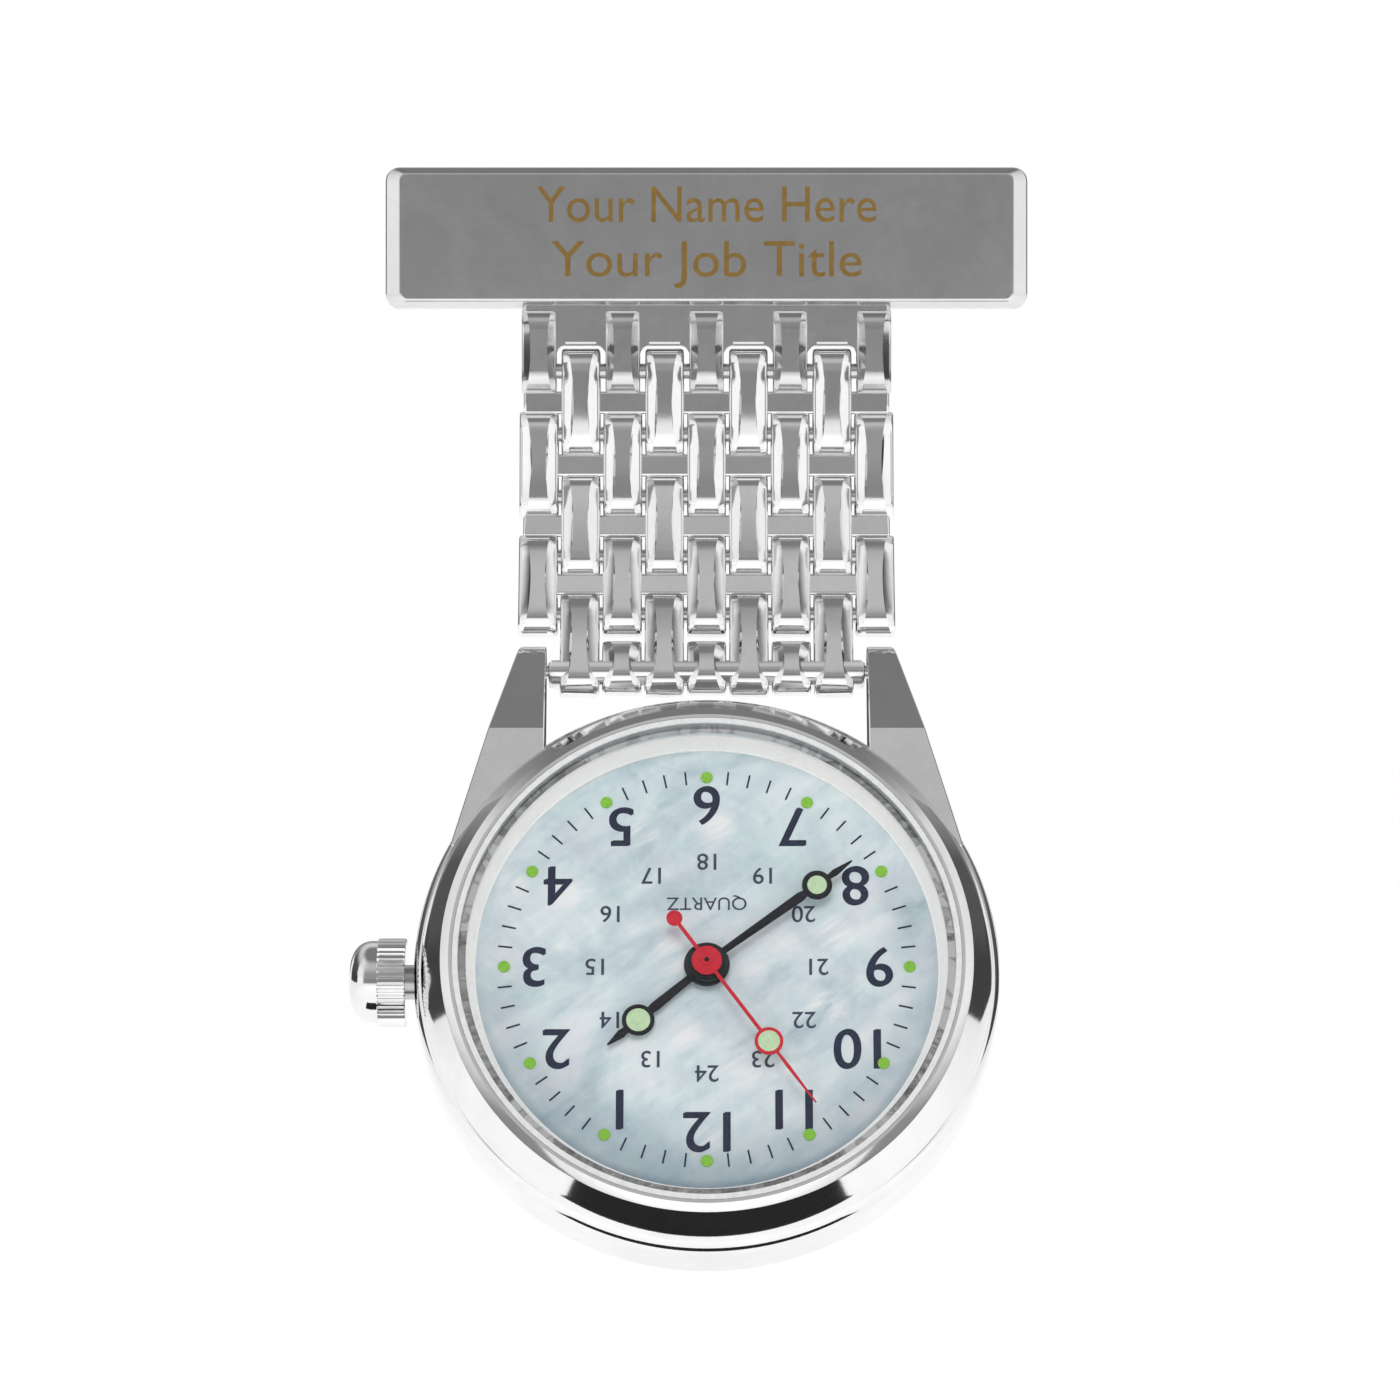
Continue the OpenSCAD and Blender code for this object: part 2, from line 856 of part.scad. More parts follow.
module main_plate() {
    recess_length = pinion_length + crown_travel + 0.5;
    color("goldenrod")
        in_head()
            union() {
                difference() {
                    union() {
                        disc([0, 0], movement_r, plate_z, plate_top_z - plate_z);
                        for (at = PILLARS)
                            disc(at, pillar_r, bridge_z + bridge_thickness, plate_z - bridge_z - 0.3);
                        disc(clamp_foot_at, pillar_r + 0.1, 1.6, plate_z - 1.4);
                        translate([-movement_r * 0.985, -1.1, 2.1])
                            cube([0.8, 2.2, plate_z - 1.9]);
                    }
                    disc([0, 0], hour_gear_r + 0.2, recess_z, 2);
                    disc(motion_at, motion_gear_r + 0.2, recess_z, 2);
                    disc([0, 0], tube_outer_r + running_gap, plate_z - 1, 3);
                    for (at = [third_at, fifth_at, rotor_at])
                        disc(at, pivot_r + running_gap, plate_z - 1, 1.4);
                    for (at = concat(PILLARS, [clamp_foot_at]))
                        disc(at, screw_r, 1, plate_z - 0.9);
                    translate([-pinion_start - pinion_length - crown_travel - 0.2, -1.25, stem_z - 2])
                        cube([recess_length, 2.5, 3.2]);
                    translate([0, 0, stem_z])
                        rod_x(winding_stem_r + running_gap, -movement_r - 1, 0);
                }
                disc(motion_at, motion_post_r, recess_z - 0.1, 0.95);
            }
}

module train_bridge() {
    color("gold")
        in_head()
            translate([0, 0, bridge_z])
                linear_extrude(bridge_thickness)
                    difference() {
                        union() {
                            arm(PILLARS[0], third_at, 2.2);
                            arm(third_at, [0, 0], 2.2);
                            arm([0, 0], fifth_at, 2.2);
                            arm(fifth_at, rotor_at, 2.2);
                            arm(rotor_at, PILLARS[1], 2.0);
                            arm(fifth_at, PILLARS[2], 2.0);
                        }
                        for (at = [[0, 0], third_at, fifth_at, rotor_at])
                            translate(at)
                                circle(r = pivot_r + running_gap);
                        for (at = PILLARS)
                            translate(at)
                                circle(r = screw_r);
                    }
}

module movement_screws() {
    color("steelblue")
        in_head() {
            for (at = PILLARS) {
                disc(at, screw_head_r, bridge_z - 0.3, 0.3);
                disc(at, screw_r, bridge_z, 1.7);
            }
            disc(clamp_foot_at, screw_head_r, 1.1, 0.3);
            disc(clamp_foot_at, screw_r, 1.4, 1.6);
        }
}

module circuit_board() {
    color("darkgreen")
        in_head()
            union() {
                translate([0, 0, 1.08])
                    linear_extrude(0.16)
                        difference() {
                            intersection() {
                                circle(r = movement_r - 0.2);
                                translate([-movement_r, -movement_r])
                                    square([movement_r * 1.7, movement_r * 0.66]);
                            }
                            translate(PILLARS[2])
                                circle(r = screw_head_r + 0.3);
                        }
                translate([-0.4, -9.9 * plan, 1.24])
                    cube([1.6, 0.6, 0.4]);
            }
}

module quartz_can() {
    color("lightsteelblue")
        in_head()
            translate([-6.8 * plan, -2.6 * plan, 2.4])
                rotate([90, 0, 0])
                    cylinder(r = 0.95, h = 4.6 * plan);
}

module coil() {
    color("chocolate")
        in_head()
            translate([coil_at[0], coil_at[1], 2.35])
                difference() {
                    rod_x(coil_r, -coil_length / 2, coil_length / 2);
                    cube([coil_length + 1, 1.0, 0.5], center = true);
                }
}

module coil_core() {
    color("gray")
        in_head()
            translate([coil_at[0], coil_at[1], 2.35])
                cube([core_length, 1.0, 0.5], center = true);
}

module stator() {
    end_reach = [core_length / 2 - 0.7, 0];
    knee_rise = [0, 1.0];
    arm_width = 1.0;
    color("darkgray")
        in_head()
            translate([0, 0, 2.6])
                linear_extrude(0.4)
                    difference() {
                        union() {
                            for (side = [-1, 1]) {
                                core_end = coil_at + side * end_reach;
                                knee = core_end + knee_rise;
                                arm(core_end, knee, arm_width);
                                arm(knee, rotor_at, arm_width);
                            }
                            translate(rotor_at)
                                circle(r = stator_ring_r);
                        }
                        translate(rotor_at)
                            circle(r = magnet_r + 0.2);
                    }
}

module battery() {
    color("silver")
        in_head() {
            disc(battery_at, battery_r, 1.4 + 0.3, battery_height - 0.3);
            disc(battery_at, battery_r - 0.5, 1.4, 0.3);
        }
}

module battery_clamp() {
    color("gainsboro")
        in_head()
            difference() {
                union() {
                    translate([0, 0, 1.2])
                        linear_extrude(0.2)
                            arm(clamp_foot_at, battery_at, 1.7);
                    disc(clamp_foot_at, 0.8, 1.4, 0.2);
                }
                disc(clamp_foot_at, screw_head_r, 1.0, 0.4);
                disc(clamp_foot_at, screw_r, 1.0, 1.0);
            }
}

// ---- Movement: wheels, from the stepping rotor to the hands ----
rotor_module = ROTOR_DISTANCE / 21;
fifth_module = FIFTH_DISTANCE / 24;
third_module = THIRD_DISTANCE / 34;
centre_module = THIRD_DISTANCE / 36;
motion_module = MOTION_DISTANCE / 20;
tube_bore = arbor_r + running_gap;
tube_outer_r = 0.32;
hour_gear_r = motion_module * 16.8;
motion_gear_r = motion_module * 15.8;

module rotor() {
    phase = meshed(rotor_angle, 0, 36, 6);
    color("dimgray")
        in_head() {
            disc(rotor_at, pivot_r, bridge_z + 0.1, plate_z + 0.3 - bridge_z - 0.1);
            gear(rotor_at, 6, rotor_module, phase, 1.95, 0.25);
            disc(rotor_at, magnet_r, 2.45, 0.7);
        }
}

module fifth_wheel() {
    phase = meshed(fifth_angle, 0, 40, 8);
    color("goldenrod")
        in_head() {
            disc(fifth_at, pivot_r, bridge_z + 0.1, plate_z + 0.3 - bridge_z - 0.1);
            gear(fifth_at, 36, rotor_module, 0, 1.98, 0.2);
            gear(fifth_at, 8, fifth_module, phase, 2.18, 0.47);
        }
}

module fourth_wheel() {
    color("goldenrod")
        in_head() {
            disc([0, 0], pivot_r, bridge_z + 0.1, 0.6);
            disc([0, 0], arbor_r, 2.0, second_hand_z + 0.1 - 2.0);
            gear([0, 0], 40, fifth_module, 0, 2.35, 0.22);
            gear([0, 0], 8, third_module, 0, 2.57, 0.46);
        }
}

module third_wheel() {
    phase = meshed(third_angle, 0, 8, 60);
    color("goldenrod")
        in_head() {
            disc(third_at, pivot_r, bridge_z + 0.1, plate_z + 0.3 - bridge_z - 0.1);
            gear(third_at, 60, third_module, phase, 2.75, 0.2);
            gear(third_at, 8, centre_module, 0, 2.95, 0.45);
        }
}

module centre_wheel() {
    phase = meshed(third_angle + 180, 0, 8, 64);
    color("goldenrod")
        in_head()
            difference() {
                union() {
                    gear([0, 0], 64, centre_module, phase, 3.12, 0.22);
                    disc([0, 0], tube_outer_r, 3.12, recess_z + 0.9 - 3.12);
                }
                disc([0, 0], tube_bore, 3, 6);
            }
}

module cannon_pinion() {
    pipe_z = recess_z + 0.42;
    color("gold")
        in_head()
            difference() {
                union() {
                    gear([0, 0], 10, motion_module, 0, recess_z + 0.06, 0.36);
                    disc([0, 0], minute_pipe_r, pipe_z, minute_hand_z + hand_thickness - pipe_z);
                }
                disc([0, 0], tube_outer_r, recess_z - 1, 1.9);
                disc([0, 0], tube_bore, recess_z, 6);
            }
}

module motion_wheel() {
    phase = meshed(motion_angle, 0, 10, 30);
    color("goldenrod")
        in_head()
            difference() {
                union() {
                    gear(motion_at, 30, motion_module, phase, recess_z + 0.06, 0.24);
                    gear(motion_at, 8, motion_module, 0, recess_z + 0.3, 0.52);
                }
                disc(motion_at, motion_post_r + running_gap, recess_z - 1, 3);
            }
}

module hour_wheel() {
    phase = meshed(motion_angle + 180, 0, 8, 32);
    color("gold")
        in_head()
            difference() {
                union() {
                    gear([0, 0], 32, motion_module, phase, recess_z + 0.5, 0.24);
                    disc([0, 0], hour_pipe_r, recess_z + 0.5, hour_hand_z + hand_thickness - recess_z - 0.5);
                }
                disc([0, 0], minute_pipe_r + running_gap, recess_z, 6);
            }
}

// ---- Keyless work and crown ----
module winding_stem() {
    color("silver")
        on_stem()
            difference() {
                rod_x(winding_stem_r, stem_inner_end, crown_bore_end + 0.9);
                difference() {
                    rod_x(winding_stem_r + 1, groove_start, groove_start + groove_width);
                    rod_x(groove_r, groove_start - 1, groove_start + groove_width + 1);
                }
            }
}

module sliding_pinion() {
    color("goldenrod")
        on_stem()
            difference() {
                translate([pinion_start, 0, 0])
                    rotate([0, 90, 0])
                        linear_extrude(pinion_length)
                            polygon(gear_outline(14, 0.13, 0));
                rod_x(winding_stem_r, 0, movement_r);
            }
}

module setting_lever() {
    slot_r = groove_r + 0.07;
    color("gray")
        on_stem()
            difference() {
                translate([groove_start + 0.1, -2.6, -1.1])
                    cube([groove_width - 0.2, 3.5, 1.65]);
                rod_x(slot_r, 0, movement_r);
                translate([0, -slot_r, -2])
                    cube([movement_r, 2 * slot_r, 2]);
            }
}

module crown() {
    color("silver")
        on_stem()
            difference() {
                union() {
                    translate([crown_face, 0, 0])
                        rotate([0, 90, 0])
                            linear_extrude(crown_rim)
                                polygon([for (i = [0 : 2 * FLUTES - 1])
                                    polar(crown_r - (i % 2) * FLUTE_DEPTH, 180 / FLUTES * i)]);
                    translate([crown_end, 0, 0])
                        rotate([0, 90, 0])
                            rotate_extrude()
                                polygon(concat(
                                    [[0, 0]],
                                    [for (i = [0 : 9])
                                        [(crown_r - FLUTE_DEPTH) * cos(10 * i), crown_dome * sin(10 * i)]]
                                ));
                }
                rod_x(crown_bore_r, crown_face - 1, crown_bore_end);
                rod_x(winding_stem_r, crown_face, crown_bore_end + 0.9);
            }
}

module crown_gasket() {
    color("dimgray")
        on_stem()
            difference() {
                rod_x(crown_bore_r, crown_face + 0.05, crown_face + 0.45);
                rod_x(tube_r + 0.02, crown_face, crown_face + 1);
            }
}

brooch_plate();
hinge_bracket();
hinge_rivet();
pin_stem();
catch_post();
catch_collar();
link_row(0, EVEN_COLUMNS);  // link_row_1
link_row(1, ODD_COLUMNS);  // link_row_2
link_row(2, EVEN_COLUMNS);  // link_row_3
link_row(3, ODD_COLUMNS);  // link_row_4
end_link();
link_pin(0);  // link_pin_1
link_pin(1);  // link_pin_2
link_pin(2);  // link_pin_3
link_pin(3);  // link_pin_4
link_pin(4);  // link_pin_5
spring_bar_tube();
spring_bar_tips();
spring_bar_spring();
mid_case();
crown_tube();
case_back();
case_back_gasket();
bezel();
crystal();
crystal_gasket();
rehaut_ring();
dial();
hour_dots();
hour_hand();
hour_hand_lume();
minute_hand();
minute_hand_lume();
second_hand();
second_hand_lume();
movement_holder();
main_plate();
train_bridge();
movement_screws();
circuit_board();
quartz_can();
coil();
coil_core();
stator();
battery();
battery_clamp();
rotor();
fifth_wheel();
fourth_wheel();
third_wheel();
centre_wheel();
cannon_pinion();
motion_wheel();
hour_wheel();
winding_stem();
crown();
crown_gasket();
sliding_pinion();
setting_lever();
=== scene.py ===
"""Looks of the fob watch: a name bar brooch, a comb link bracelet and an upside-down watch head.

Pieces are shaped in millimetres and set in place in metres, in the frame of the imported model.
The head is shaped on a bench of its own: Z runs out of the crystal, Y runs towards the bracelet
and 12 o'clock is at -Y.
"""

import json
import logging
import math
from collections.abc import Callable, Iterable, Sequence
from dataclasses import dataclass, field
from enum import Enum

import bmesh
import bpy
from mathutils import Matrix, Vector


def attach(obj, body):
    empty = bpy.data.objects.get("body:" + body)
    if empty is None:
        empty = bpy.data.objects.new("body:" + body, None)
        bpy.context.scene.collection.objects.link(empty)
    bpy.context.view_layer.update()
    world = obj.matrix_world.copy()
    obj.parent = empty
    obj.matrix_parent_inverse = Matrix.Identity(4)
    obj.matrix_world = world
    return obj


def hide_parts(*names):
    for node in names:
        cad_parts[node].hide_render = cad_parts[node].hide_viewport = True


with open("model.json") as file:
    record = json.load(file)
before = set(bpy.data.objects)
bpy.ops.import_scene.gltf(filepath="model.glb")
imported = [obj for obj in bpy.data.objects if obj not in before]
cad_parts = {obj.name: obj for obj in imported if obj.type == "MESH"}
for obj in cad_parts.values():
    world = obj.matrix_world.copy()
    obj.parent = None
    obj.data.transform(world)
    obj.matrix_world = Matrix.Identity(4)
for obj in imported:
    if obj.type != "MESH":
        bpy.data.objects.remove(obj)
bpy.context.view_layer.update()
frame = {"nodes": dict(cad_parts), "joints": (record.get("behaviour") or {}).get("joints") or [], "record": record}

LOG = logging.getLogger("fob_watch")
MM = 0.001
Colour = tuple[float, float, float]
Point = tuple[float, float]


class Signal:
    """A number on a node's socket, which Python's operators can work on."""

    def __init__(self, wiring: "Wiring", socket: bpy.types.NodeSocket) -> None:
        """Keeps the socket and the wiring that it belongs to."""
        self.wiring = wiring
        self.socket = socket

    def maths(self, operation: str, *values: "Signal | float") -> "Signal":
        """Adds one Math node.

        Args:
            operation: The Math node's operation.
            values: What goes into its sockets, in order.

        Returns:
            The node's result.
        """
        made = self.wiring.node(
            "ShaderNodeMath", {"operation": operation}, dict(enumerate(values))
        )
        return Signal(self.wiring, made.outputs[0])

    def __add__(self, other: "Signal | float") -> "Signal":
        """Sum of two numbers."""
        return self.maths("ADD", self, other)

    def __radd__(self, other: float) -> "Signal":
        """Sum with a plain number on the left."""
        return self.maths("ADD", other, self)

    def __sub__(self, other: "Signal | float") -> "Signal":
        """Difference of two numbers."""
        return self.maths("SUBTRACT", self, other)

    def __rsub__(self, other: float) -> "Signal":
        """A plain number less this one."""
        return self.maths("SUBTRACT", other, self)

    def __mul__(self, other: "Signal | float") -> "Signal":
        """Product of two numbers."""
        return self.maths("MULTIPLY", self, other)

    def __rmul__(self, other: float) -> "Signal":
        """Product with a plain number on the left."""
        return self.maths("MULTIPLY", other, self)

    def __truediv__(self, other: "Signal | float") -> "Signal":
        """Quotient of two numbers."""
        return self.maths("DIVIDE", self, other)

    def held(self) -> "Signal":
        """The number kept between 0 and 1."""
        return self.maths("MAXIMUM", self.maths("MINIMUM", self, 1.0), 0.0)


class Wiring:
    """A node tree and the one way in which nodes are added to it."""

    def __init__(self, tree: bpy.types.NodeTree) -> None:
        """Starts from an empty tree."""
        self.tree = tree
        tree.nodes.clear()

    def node(
        self,
        kind: str,
        settings: dict[str, object] | None = None,
        sockets: dict[int | str, object] | None = None,
    ) -> bpy.types.Node:
        """Adds a node.

        Args:
            kind: The node's type.
            settings: Its own settings, set first; "stops" are a ramp's places and colours.
            sockets: Values or links of its input sockets, by name or number.

        Returns:
            The new node.
        """
        made = self.tree.nodes.new(kind)
        for key, value in (settings or {}).items():
            if key == "stops":
                elements = made.color_ramp.elements
                while len(elements) < len(value):
                    elements.new(1.0)
                for element, (place, colour) in zip(elements, value):
                    element.position = place
                    element.color = (*colour, 1.0)
            else:
                setattr(made, key, value)
        for key, value in (sockets or {}).items():
            value = value.socket if isinstance(value, Signal) else value
            if isinstance(value, bpy.types.NodeSocket):
                self.tree.links.new(value, made.inputs[key])
            else:
                made.inputs[key].default_value = value
        return made

    def ramp(
        self, number: Signal, stops: Sequence[tuple[float, Colour]], mode: str = "LINEAR"
    ) -> bpy.types.NodeSocket:
        """A colour that follows a number.

        Args:
            number: The number, from 0 to 1.
            stops: Places and colours, in rising order.
            mode: How colours run between stops.

        Returns:
            The colour's socket.
        """
        made = self.node("ShaderNodeValToRGB", {"stops": stops}, {"Fac": number})
        made.color_ramp.interpolation = mode
        return made.outputs["Color"]

    def level(
        self, number: Signal, stops: Sequence[tuple[float, float]], mode: str = "LINEAR"
    ) -> Signal:
        """A number that follows another through a ramp of greys."""
        greys = [(place, (grey, grey, grey)) for place, grey in stops]
        return Signal(self, self.ramp(number, greys, mode))

    def mix(self, factor: Signal | float, first: object, second: object) -> bpy.types.NodeSocket:
        """Mixes two colours.

        Args:
            factor: Share of the second colour.
            first: A colour or its socket.
            second: A colour or its socket.

        Returns:
            The mixed colour's socket.
        """
        settings = {"data_type": "RGBA", "clamp_factor": True}
        colours = {
            place: (*value, 1.0) if isinstance(value, tuple) else value
            for place, value in ((6, first), (7, second))
        }
        return self.node("ShaderNodeMix", settings, {0: factor, **colours}).outputs[2]


class PaintShop(Wiring):
    """The node tree of one material, with a piece's own coordinates in millimetres."""

    def __init__(self, name: str) -> None:
        """Makes the material and its coordinates.

        Args:
            name: The material's name.
        """
        self.material = bpy.data.materials.new(name)
        self.material.use_nodes = True
        super().__init__(self.material.node_tree)
        place = self.node("ShaderNodeTexCoord").outputs["Object"]
        self.place = self.vector("SCALE", place, Scale=1 / MM)

    def vector(self, operation: str, *values: object, **named: object) -> bpy.types.NodeSocket:
        """Adds a Vector Math node.

        Args:
            operation: The node's operation.
            values: What goes into its first sockets.
            named: Values of its named sockets.

        Returns:
            The vector that comes out.
        """
        sockets = {**dict(enumerate(values)), **named}
        made = self.node("ShaderNodeVectorMath", {"operation": operation}, sockets)
        return made.outputs["Vector"]

    def stretched(self, turn: Sequence[float], scale: Sequence[float]) -> bpy.types.NodeSocket:
        """Turned and stretched coordinates, for a pattern with a direction.

        Args:
            turn: Turn about each axis, in radians.
            scale: Scale along each axis after the turn.

        Returns:
            The coordinates' socket.
        """
        turned = self.node(
            "ShaderNodeMapping", {}, {"Vector": self.place, "Rotation": tuple(turn)}
        ).outputs["Vector"]
        return self.vector("MULTIPLY", turned, tuple(scale))

    def noise(
        self,
        size: float,
        detail: float = 3.0,
        rough: float = 0.5,
        warp: float = 0.0,
        place: bpy.types.NodeSocket | None = None,
    ) -> Signal:
        """Cloudy noise.

        Args:
            size: Size of its largest clouds, in millimetres.
            detail: Number of finer layers.
            rough: Strength of the finer layers.
            warp: How far the pattern is bent.
            place: Coordinates, if not the piece's own.

        Returns:
            A number from 0 to 1.
        """
        sockets = {
            "Vector": place or self.place,
            "Scale": 1 / size,
            "Detail": detail,
            "Roughness": rough,
            "Distortion": warp,
        }
        return Signal(self, self.node("ShaderNodeTexNoise", {}, sockets).outputs[0])

    def cells(self, size: float) -> Signal:
        """Distance to scattered points that lie about a given size apart."""
        made = self.node("ShaderNodeTexVoronoi", {}, {"Vector": self.place, "Scale": 1 / size})
        return Signal(self, made.outputs["Distance"])

    def from_axis(self, centre: Vector, axis: Vector) -> Signal:
        """Distance from an axis.

        Args:
            centre: A point on the axis, in millimetres.
            axis: The axis's direction.

        Returns:
            The distance in millimetres.
        """
        arm = self.vector("SUBTRACT", self.place, tuple(centre))
        across = self.vector("CROSS_PRODUCT", arm, tuple(axis))
        made = self.node("ShaderNodeVectorMath", {"operation": "LENGTH"}, {0: across})
        return Signal(self, made.outputs["Value"])

    def bump(self, height: Signal, depth: float, strength: float = 1.0) -> bpy.types.NodeSocket:
        """Surface relief.

        Args:
            height: The relief, from 0 to 1.
            depth: Its depth in millimetres.
            strength: How much of it shows.

        Returns:
            The bent normal.
        """
        sockets = {"Height": height, "Distance": depth * MM, "Strength": strength}
        return self.node("ShaderNodeBump", {}, sockets).outputs["Normal"]

    def coat(self, **sockets: object) -> bpy.types.Material:
        """Ends the tree in a Principled shader.

        Args:
            sockets: Its sockets, with underscores for spaces.

        Returns:
            The finished material.
        """
        named = {key.replace("_", " "): value for key, value in sockets.items()}
        shader = self.node("ShaderNodeBsdfPrincipled", {}, named)
        self.node("ShaderNodeOutputMaterial", {}, {"Surface": shader.outputs[0]})
        return self.material


class Grain(Enum):
    """How a metal was finished."""

    POLISHED = "polished"
    SATIN = "satin"
    CIRCULAR = "circular"


class Finish:
    """Something that a piece can be finished in; its material is made once."""

    made: dict[str, bpy.types.Material] = {}
    name: str

    def material(self) -> bpy.types.Material:
        """The finish's material."""
        if self.name not in Finish.made:
            Finish.made[self.name] = self.mix_up()
        return Finish.made[self.name]

    def mix_up(self) -> bpy.types.Material:
        """Makes the material; each kind of finish has its own way."""
        raise NotImplementedError


@dataclass(frozen=True)
class Metal(Finish):
    """Bare or plated metal with smudges, a grain and rubbed spots."""

    name: str
    colour: Colour
    roughness: float = 0.1
    grain: Grain = Grain.POLISHED
    smudge: float = 0.05
    relief: float = 0.002
    specks: float = 0.0
    centre: tuple[float, float, float] = (0.0, 0.0, 0.0)
    axis: tuple[float, float, float] = (0.0, 1.0, 0.0)

    def marks(self, shop: PaintShop) -> Signal:
        """The grain's pattern.

        Args:
            shop: The material's node tree.

        Returns:
            A number from 0 to 1.
        """
        if self.grain is Grain.CIRCULAR:
            rings = shop.from_axis(Vector(self.centre), Vector(self.axis))
            sockets = {"W": rings, "Scale": 9.0, "Detail": 6.0, "Roughness": 0.75}
            made = shop.node("ShaderNodeTexNoise", {"noise_dimensions": "1D"}, sockets)
            return Signal(shop, made.outputs[0])
        size = 0.12 if self.grain is Grain.SATIN else 0.5
        return shop.noise(size, 6, 0.65)

    def mix_up(self) -> bpy.types.Material:
        """Metal with smudges in its colour and roughness, and its grain as relief.

        Returns:
            The material.
        """
        shop = PaintShop(self.name)
        marks = self.marks(shop)
        smudge = shop.noise(4.0, 4, 0.6, 0.6)
        dull = tuple(0.94 * c for c in self.colour)
        bright = tuple(min(1.0, 1.03 * c) for c in self.colour)
        worn = 0.6 * smudge + 0.4 * marks
        colour = shop.mix(shop.level(worn, [(0.35, 0.0), (0.65, 1.0)]), dull, bright)
        if self.specks:
            dots = shop.level(shop.cells(0.42), [(0.05, 1.0), (0.11, 0.0)])
            chosen = dots * shop.level(shop.noise(1.1, 2), [(0.56, 0.0), (0.62, self.specks)])
            colour = shop.mix(chosen, colour, (1.0, 1.0, 1.0))
        rough = self.roughness + self.smudge * smudge + 0.5 * self.smudge * marks
        return shop.coat(
            Base_Color=colour,
            Metallic=1.0,
            Roughness=rough.held(),
            Normal=shop.bump(marks, self.relief, 0.6),
        )


@dataclass(frozen=True)
class Coating(Finish):
    """Paint, plastic, rubber or lacquer: a body colour with mottling and fine relief."""

    name: str
    colour: Colour
    roughness: float = 0.4
    mottle: float = 0.08
    size: float = 0.6
    relief: float = 0.004
    clear_coat: float = 0.0
    glow: float = 0.0

    def mix_up(self) -> bpy.types.Material:
        """A mottled body colour, with worn and matt patches.

        Returns:
            The material.
        """
        shop = PaintShop(self.name)
        cloud = shop.noise(self.size, 4, 0.6, 0.3)
        grit = shop.noise(self.size / 8, 3, 0.6)
        dark = tuple(c * (1 - self.mottle) for c in self.colour)
        light = tuple(min(1.0, c * (1 + self.mottle) + 0.02 * self.mottle) for c in self.colour)
        colour = shop.mix(shop.level(cloud, [(0.3, 0.0), (0.7, 1.0)]), dark, light)
        sockets = {
            "Base_Color": colour,
            "Roughness": (self.roughness + 0.12 * (cloud - 0.5) + 0.06 * (grit - 0.5)).held(),
            "Normal": shop.bump(grit, self.relief, 0.5),
        }
        if self.clear_coat:
            sockets["Coat_Weight"] = self.clear_coat
        # A glow is emitted light: on the white ring it is painted light, though the ring is no lamp; on the floor
        # paper it keeps the floor evenly white.
        if self.glow:
            sockets |= {"Emission_Color": colour, "Emission_Strength": self.glow}
        return shop.coat(**sockets)


@dataclass(frozen=True)
class Pearl(Finish):
    """Pale mother-of-pearl under lacquer, with bright clouds and a faint play of colour."""

    name: str
    shade: Colour = (0.42, 0.54, 0.60)
    body: Colour = (0.62, 0.74, 0.79)
    pale: Colour = (0.78, 0.88, 0.91)
    light: Colour = (0.97, 1.0, 1.0)
    pink: Colour = (0.93, 0.78, 0.87)
    green: Colour = (0.70, 0.92, 0.82)
    # Colour of the painted shade that darkens the dial towards its rim.
    painted_rim_shade: Colour = (0.17, 0.25, 0.33)
    centre: tuple[float, float, float] = (0.0, 0.0, 0.0)
    axis: tuple[float, float, float] = (0.0, 1.0, 0.0)
    radius: float = 12.6

    def mix_up(self) -> bpy.types.Material:
        """Layers of cloud, slanting streaks and painted glints, with painted shade towards the rim, strongest on
        its low side.

        Returns:
            The material.
        """
        shop = PaintShop(self.name)
        cloud = shop.noise(9.0, 5, 0.62, 1.4)
        streak = shop.noise(1.0, 4, 0.6, 0.8, shop.stretched((0.0, 0.6, 0.0), (0.13, 0.3, 0.75)))
        sheet = shop.noise(2.6, 4, 0.7, 2.5)
        blend = 0.55 * cloud + 0.3 * streak + 0.15 * sheet
        stops = [(0.34, self.shade), (0.45, self.body), (0.55, self.pale), (0.66, self.light)]
        colour = shop.ramp(blend, stops)
        pink = shop.level(shop.noise(5.0, 2, 0.5, 1.0), [(0.52, 0.0), (0.75, 0.28)])
        green = shop.level(shop.noise(6.5, 2, 0.5, 1.8), [(0.55, 0.0), (0.78, 0.25)])
        colour = shop.mix(green, shop.mix(pink, colour, self.pink), self.green)
        # Painted glints: bright spots along the streaks, mixed towards white.
        painted_glint = shop.level(shop.cells(4.6), [(0.10, 0.85), (0.34, 0.0)], "EASE")
        chosen = painted_glint * shop.level(streak, [(0.42, 0.0), (0.60, 1.0)])
        colour = shop.mix(chosen, colour, (1.0, 1.0, 1.0))
        # Painted shade: darker towards the rim, and more so on the dial's low side.
        out = shop.from_axis(Vector(self.centre), Vector(self.axis)) / self.radius
        height = Signal(shop, shop.node("ShaderNodeSeparateXYZ", {}, {0: shop.place}).outputs[2])
        low = (self.centre[2] - height) / self.radius
        rim = shop.level(out, [(0.62, 0.0), (0.95, 0.45), (1.0, 0.75)], "EASE")
        painted_rim_shade = (rim * (0.45 + 0.75 * low)).held()
        colour = shop.mix(painted_rim_shade, colour, self.painted_rim_shade)
        return shop.coat(
            Base_Color=colour,
            Roughness=(0.22 + 0.2 * sheet).held(),
            Coat_Weight=0.6,
            Normal=shop.bump(blend, 0.02, 0.35),
        )


